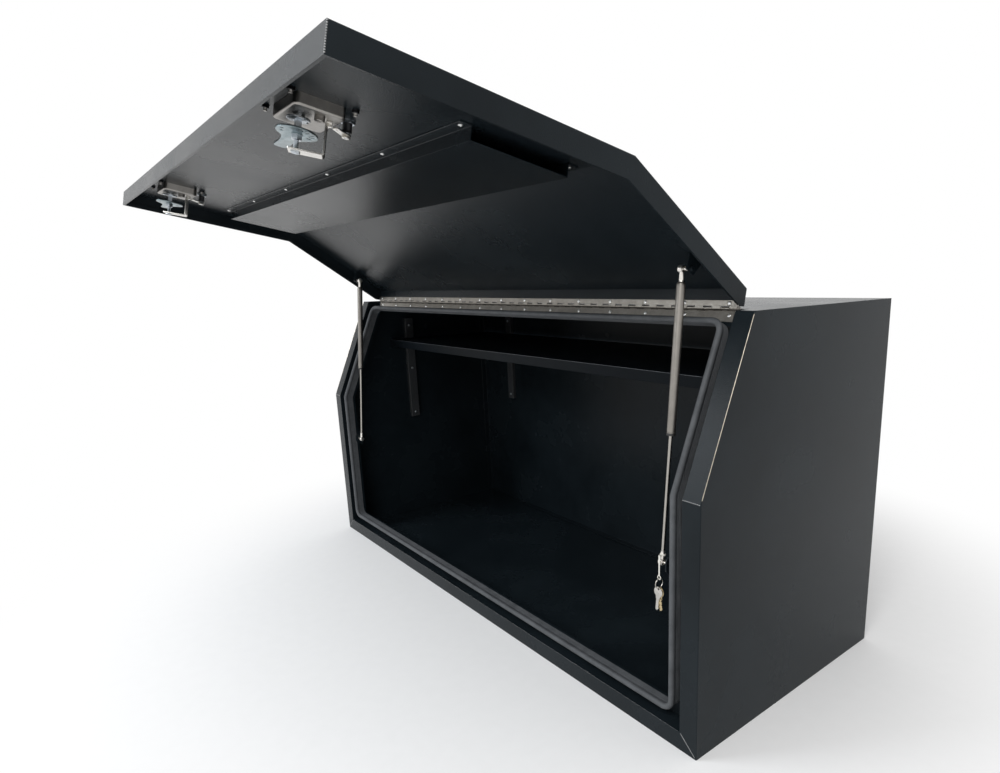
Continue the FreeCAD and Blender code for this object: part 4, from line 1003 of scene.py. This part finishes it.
def key_outline(bites):
    """Round bow above a shouldered blade with its bites, about the eye's centre."""
    middle = EYE_R + 1.6 - BOW_R
    tip = middle - KEY_LONG + BOW_R
    line = arc(0, middle, BOW_R, -58, 238, 24)
    line += [(-5.5, middle - 12.5), (-5.5, middle - 16.5), (-4, middle - 17), (-4, tip + 1), (-2.6, tip),
             (0.6, tip), (4, tip + 4)]
    for k, bite in enumerate(bites):
        z = tip + 8 + 4.6 * k
        line += [(4, z - 2), (4 - bite, z - 0.5), (4 - bite, z + 0.5), (4, z + 2)]
    return line + [(4, middle - 17), (5.5, middle - 16.5), (5.5, middle - 12.5)]


def cut_key(word, side, lean, bites, material):
    """One key hanging in the ring, a little in front of it or behind."""
    rise = RING_INNER - math.sqrt(RING_INNER ** 2 - 2.45 ** 2)
    eye_z = RING_Z - RING_INNER + rise + 0.25 - EYE_R
    turn = math.radians(lean)
    y = TIE_Y + side * 1.35

    def place(u, v, d):
        return (STRUT_X + u * math.cos(turn) + v * math.sin(turn), y + d,
                eye_z - u * math.sin(turn) + v * math.cos(turn))

    draft = Draft()
    draft.cut([key_outline(bites), circle(EYE_R, 20)], -KEY_THICK / 2, KEY_THICK / 2, place, 0.22)
    piece(f"key_{word}_cut", "keys", draft, CABINET, "key_metal", material, ["key_" + word])


def key_tie():
    """Band round the right strut's lower socket, with the strap and eye that carry the ring."""
    centre = LOW + ALONG * 14.0
    draft = Draft()
    band = [(0, 5.05), (0, 6.0), (0.3, 6.25), (3.7, 6.25), (4, 6.0), (4, 5.05), (0, 5.05)]
    draft.turned(band, centre, ALONG, 28)
    stations = ((TIE_LOW + 3.5, 1.6), (TIE_LOW + 8, 1.5), (centre.z - 2, 1.75), (centre.z + 3, 1.75))
    strap = []
    for z, w in stations:
        section = ((-w, -0.55), (w, -0.55), (w + 0.25, 0), (w, 0.55), (-w, 0.55), (-w - 0.25, 0))
        strap.append([(STRUT_X + x, TIE_Y + y, z) for x, y in section])
    draft.loops(strap)
    draft.box(STRUT_X - 1.9, STRUT_X + 1.9, TIE_Y - 0.5, centre.y - 5.45, centre.z, centre.z + 3)
    draft.cut([circle(5.0, 32), circle(3.2, 20)], -0.6, 0.6,
              lambda u, v, d: (STRUT_X + u, TIE_Y + d, TIE_LOW + v), 0.15)
    piece("key_tie_fine", "strut_rod_right", draft, CABINET, "tie_plastic", replaces=["key_tie"])


def make_keys():
    key_ring()
    cut_key("one", -1, 5.0, BITES_ONE, MATS["key_metal"])
    cut_key("two", 1, -6.0, BITES_TWO, BRASS)
    key_tie()


# Stage

FADE_START, FADE_END = 0.9, 1.75
WORLD_LIGHT, WORLD_SEEN = 0.62, 1.0


def seen_rays(tree):
    """1 for the rays that show the background, 0 for those that light the object."""
    path = tree.nodes.new("ShaderNodeLightPath")
    seen = path.outputs["Is Camera Ray"]
    for ray in ("Is Glossy Ray", "Is Transmission Ray"):
        node = tree.nodes.new("ShaderNodeMath")
        node.operation = "MAXIMUM"
        tree.links.new(seen, node.inputs[0])
        tree.links.new(path.outputs[ray], node.inputs[1])
        seen = node.outputs[0]
    return seen


def floor_material():
    """Pale floor that keeps the shadow near the object and fades to white further out."""
    n = Nodes("floor_pale")
    n.finish(Base_Color=n.mix(n.noise(30.0), (0.90, 0.90, 0.90), (0.93, 0.93, 0.93)), Roughness=0.9,
             Specular_IOR_Level=0.1)
    far = n.tree.nodes.new("ShaderNodeVectorMath")
    far.operation = "LENGTH"
    n.link(n.coords, far.inputs[0])
    fade = n.spread(far.outputs["Value"], FADE_START, FADE_END, kind="SMOOTHSTEP")
    white = n.tree.nodes.new("ShaderNodeEmission")
    blend = n.tree.nodes.new("ShaderNodeMixShader")
    n.link(n.math("MULTIPLY", fade, seen_rays(n.tree)), blend.inputs[0])
    n.link(n.shader.outputs[0], blend.inputs[1])
    n.link(white.outputs[0], blend.inputs[2])
    n.link(blend.outputs[0], n.tree.nodes["Material Output"].inputs["Surface"])
    return n.material


def make_floor():
    half, below = 60.0, 0.0005
    mesh = bpy.data.meshes.new("floor")
    mesh.from_pydata([(x, y, 0) for x, y in square(half)], [], [(0, 1, 2, 3)])
    floor = bpy.data.objects.new("floor", mesh)
    bpy.context.scene.collection.objects.link(floor)
    floor.location.z = -below
    floor.data.materials.append(floor_material())


def make_world():
    """White to look at, and a plain level as light."""
    world = bpy.data.worlds.new("studio")
    bpy.context.scene.world = world
    world.use_nodes = True
    tree = world.node_tree
    strength = tree.nodes.new("ShaderNodeMapRange")
    strength.inputs["To Min"].default_value = WORLD_LIGHT
    strength.inputs["To Max"].default_value = WORLD_SEEN
    tree.links.new(seen_rays(tree), strength.inputs["Value"])
    back = tree.nodes["Background"]
    back.inputs["Color"].default_value = (1, 1, 1, 1)
    tree.links.new(strength.outputs[0], back.inputs["Strength"])


def soft_box(name, place, size, power, colour=(1, 1, 1)):
    """Square area light at a place in metres, turned towards the object."""
    aim = Vector((0.2, -0.2, 0.6))
    data = bpy.data.lights.new(name, "AREA")
    data.shape = "RECTANGLE"
    data.size = data.size_y = size
    data.energy = power
    data.color = colour
    obj = bpy.data.objects.new(name, data)
    bpy.context.scene.collection.objects.link(obj)
    obj.visible_camera = False
    obj.location = place
    obj.rotation_mode = "QUATERNION"
    obj.rotation_quaternion = (aim - Vector(place)).to_track_quat("-Z", "Y")


# Camera of the photograph

IMAGE_W, IMAGE_H = 1000, 773
FOCAL_PX = 662.4
CENTRE_PX = (561.4, 428.3)
CAMERA_AT = (1645.4, -933.5, 973.4)
YAW, PITCH, ROLL = (math.radians(a) for a in (-50.935, -12.902, -1.727))
SENSOR = 36.0


def make_camera():
    level = Vector((math.cos(YAW), -math.sin(YAW), 0))
    ahead = Vector((math.sin(YAW) * math.cos(PITCH), math.cos(YAW) * math.cos(PITCH), math.sin(PITCH)))
    upright = level.cross(ahead)
    right = level * math.cos(ROLL) + upright * math.sin(ROLL)
    up = upright * math.cos(ROLL) - level * math.sin(ROLL)
    data = bpy.data.cameras.new("camera")
    data.sensor_fit = "HORIZONTAL"
    data.sensor_width = SENSOR
    data.lens = FOCAL_PX / IMAGE_W * SENSOR
    data.shift_x = -(CENTRE_PX[0] - IMAGE_W / 2) / IMAGE_W
    data.shift_y = (CENTRE_PX[1] - IMAGE_H / 2) / IMAGE_W
    obj = bpy.data.objects.new("camera", data)
    bpy.context.scene.collection.objects.link(obj)
    basis = Matrix((right, up, -ahead)).transposed().to_4x4()
    basis.translation = CABINET @ Vector(CAMERA_AT)
    obj.matrix_world = basis
    bpy.context.scene.camera = obj


dress_nodes()
make_hinge()
make_rivets()
make_screws()
make_welds()
make_edge_highlights_and_welds()
make_seal()
make_latches()
make_struts()
make_keys()
make_floor()
make_world()
soft_box("key_light", (2.6, -3.6, 3.8), 2.4, 130)
soft_box("fill_light", (-1.7, -3.3, 2.7), 1.6, 70, (0.90, 0.95, 1.0))
make_camera()
bpy.context.scene.view_settings.view_transform = "Standard"
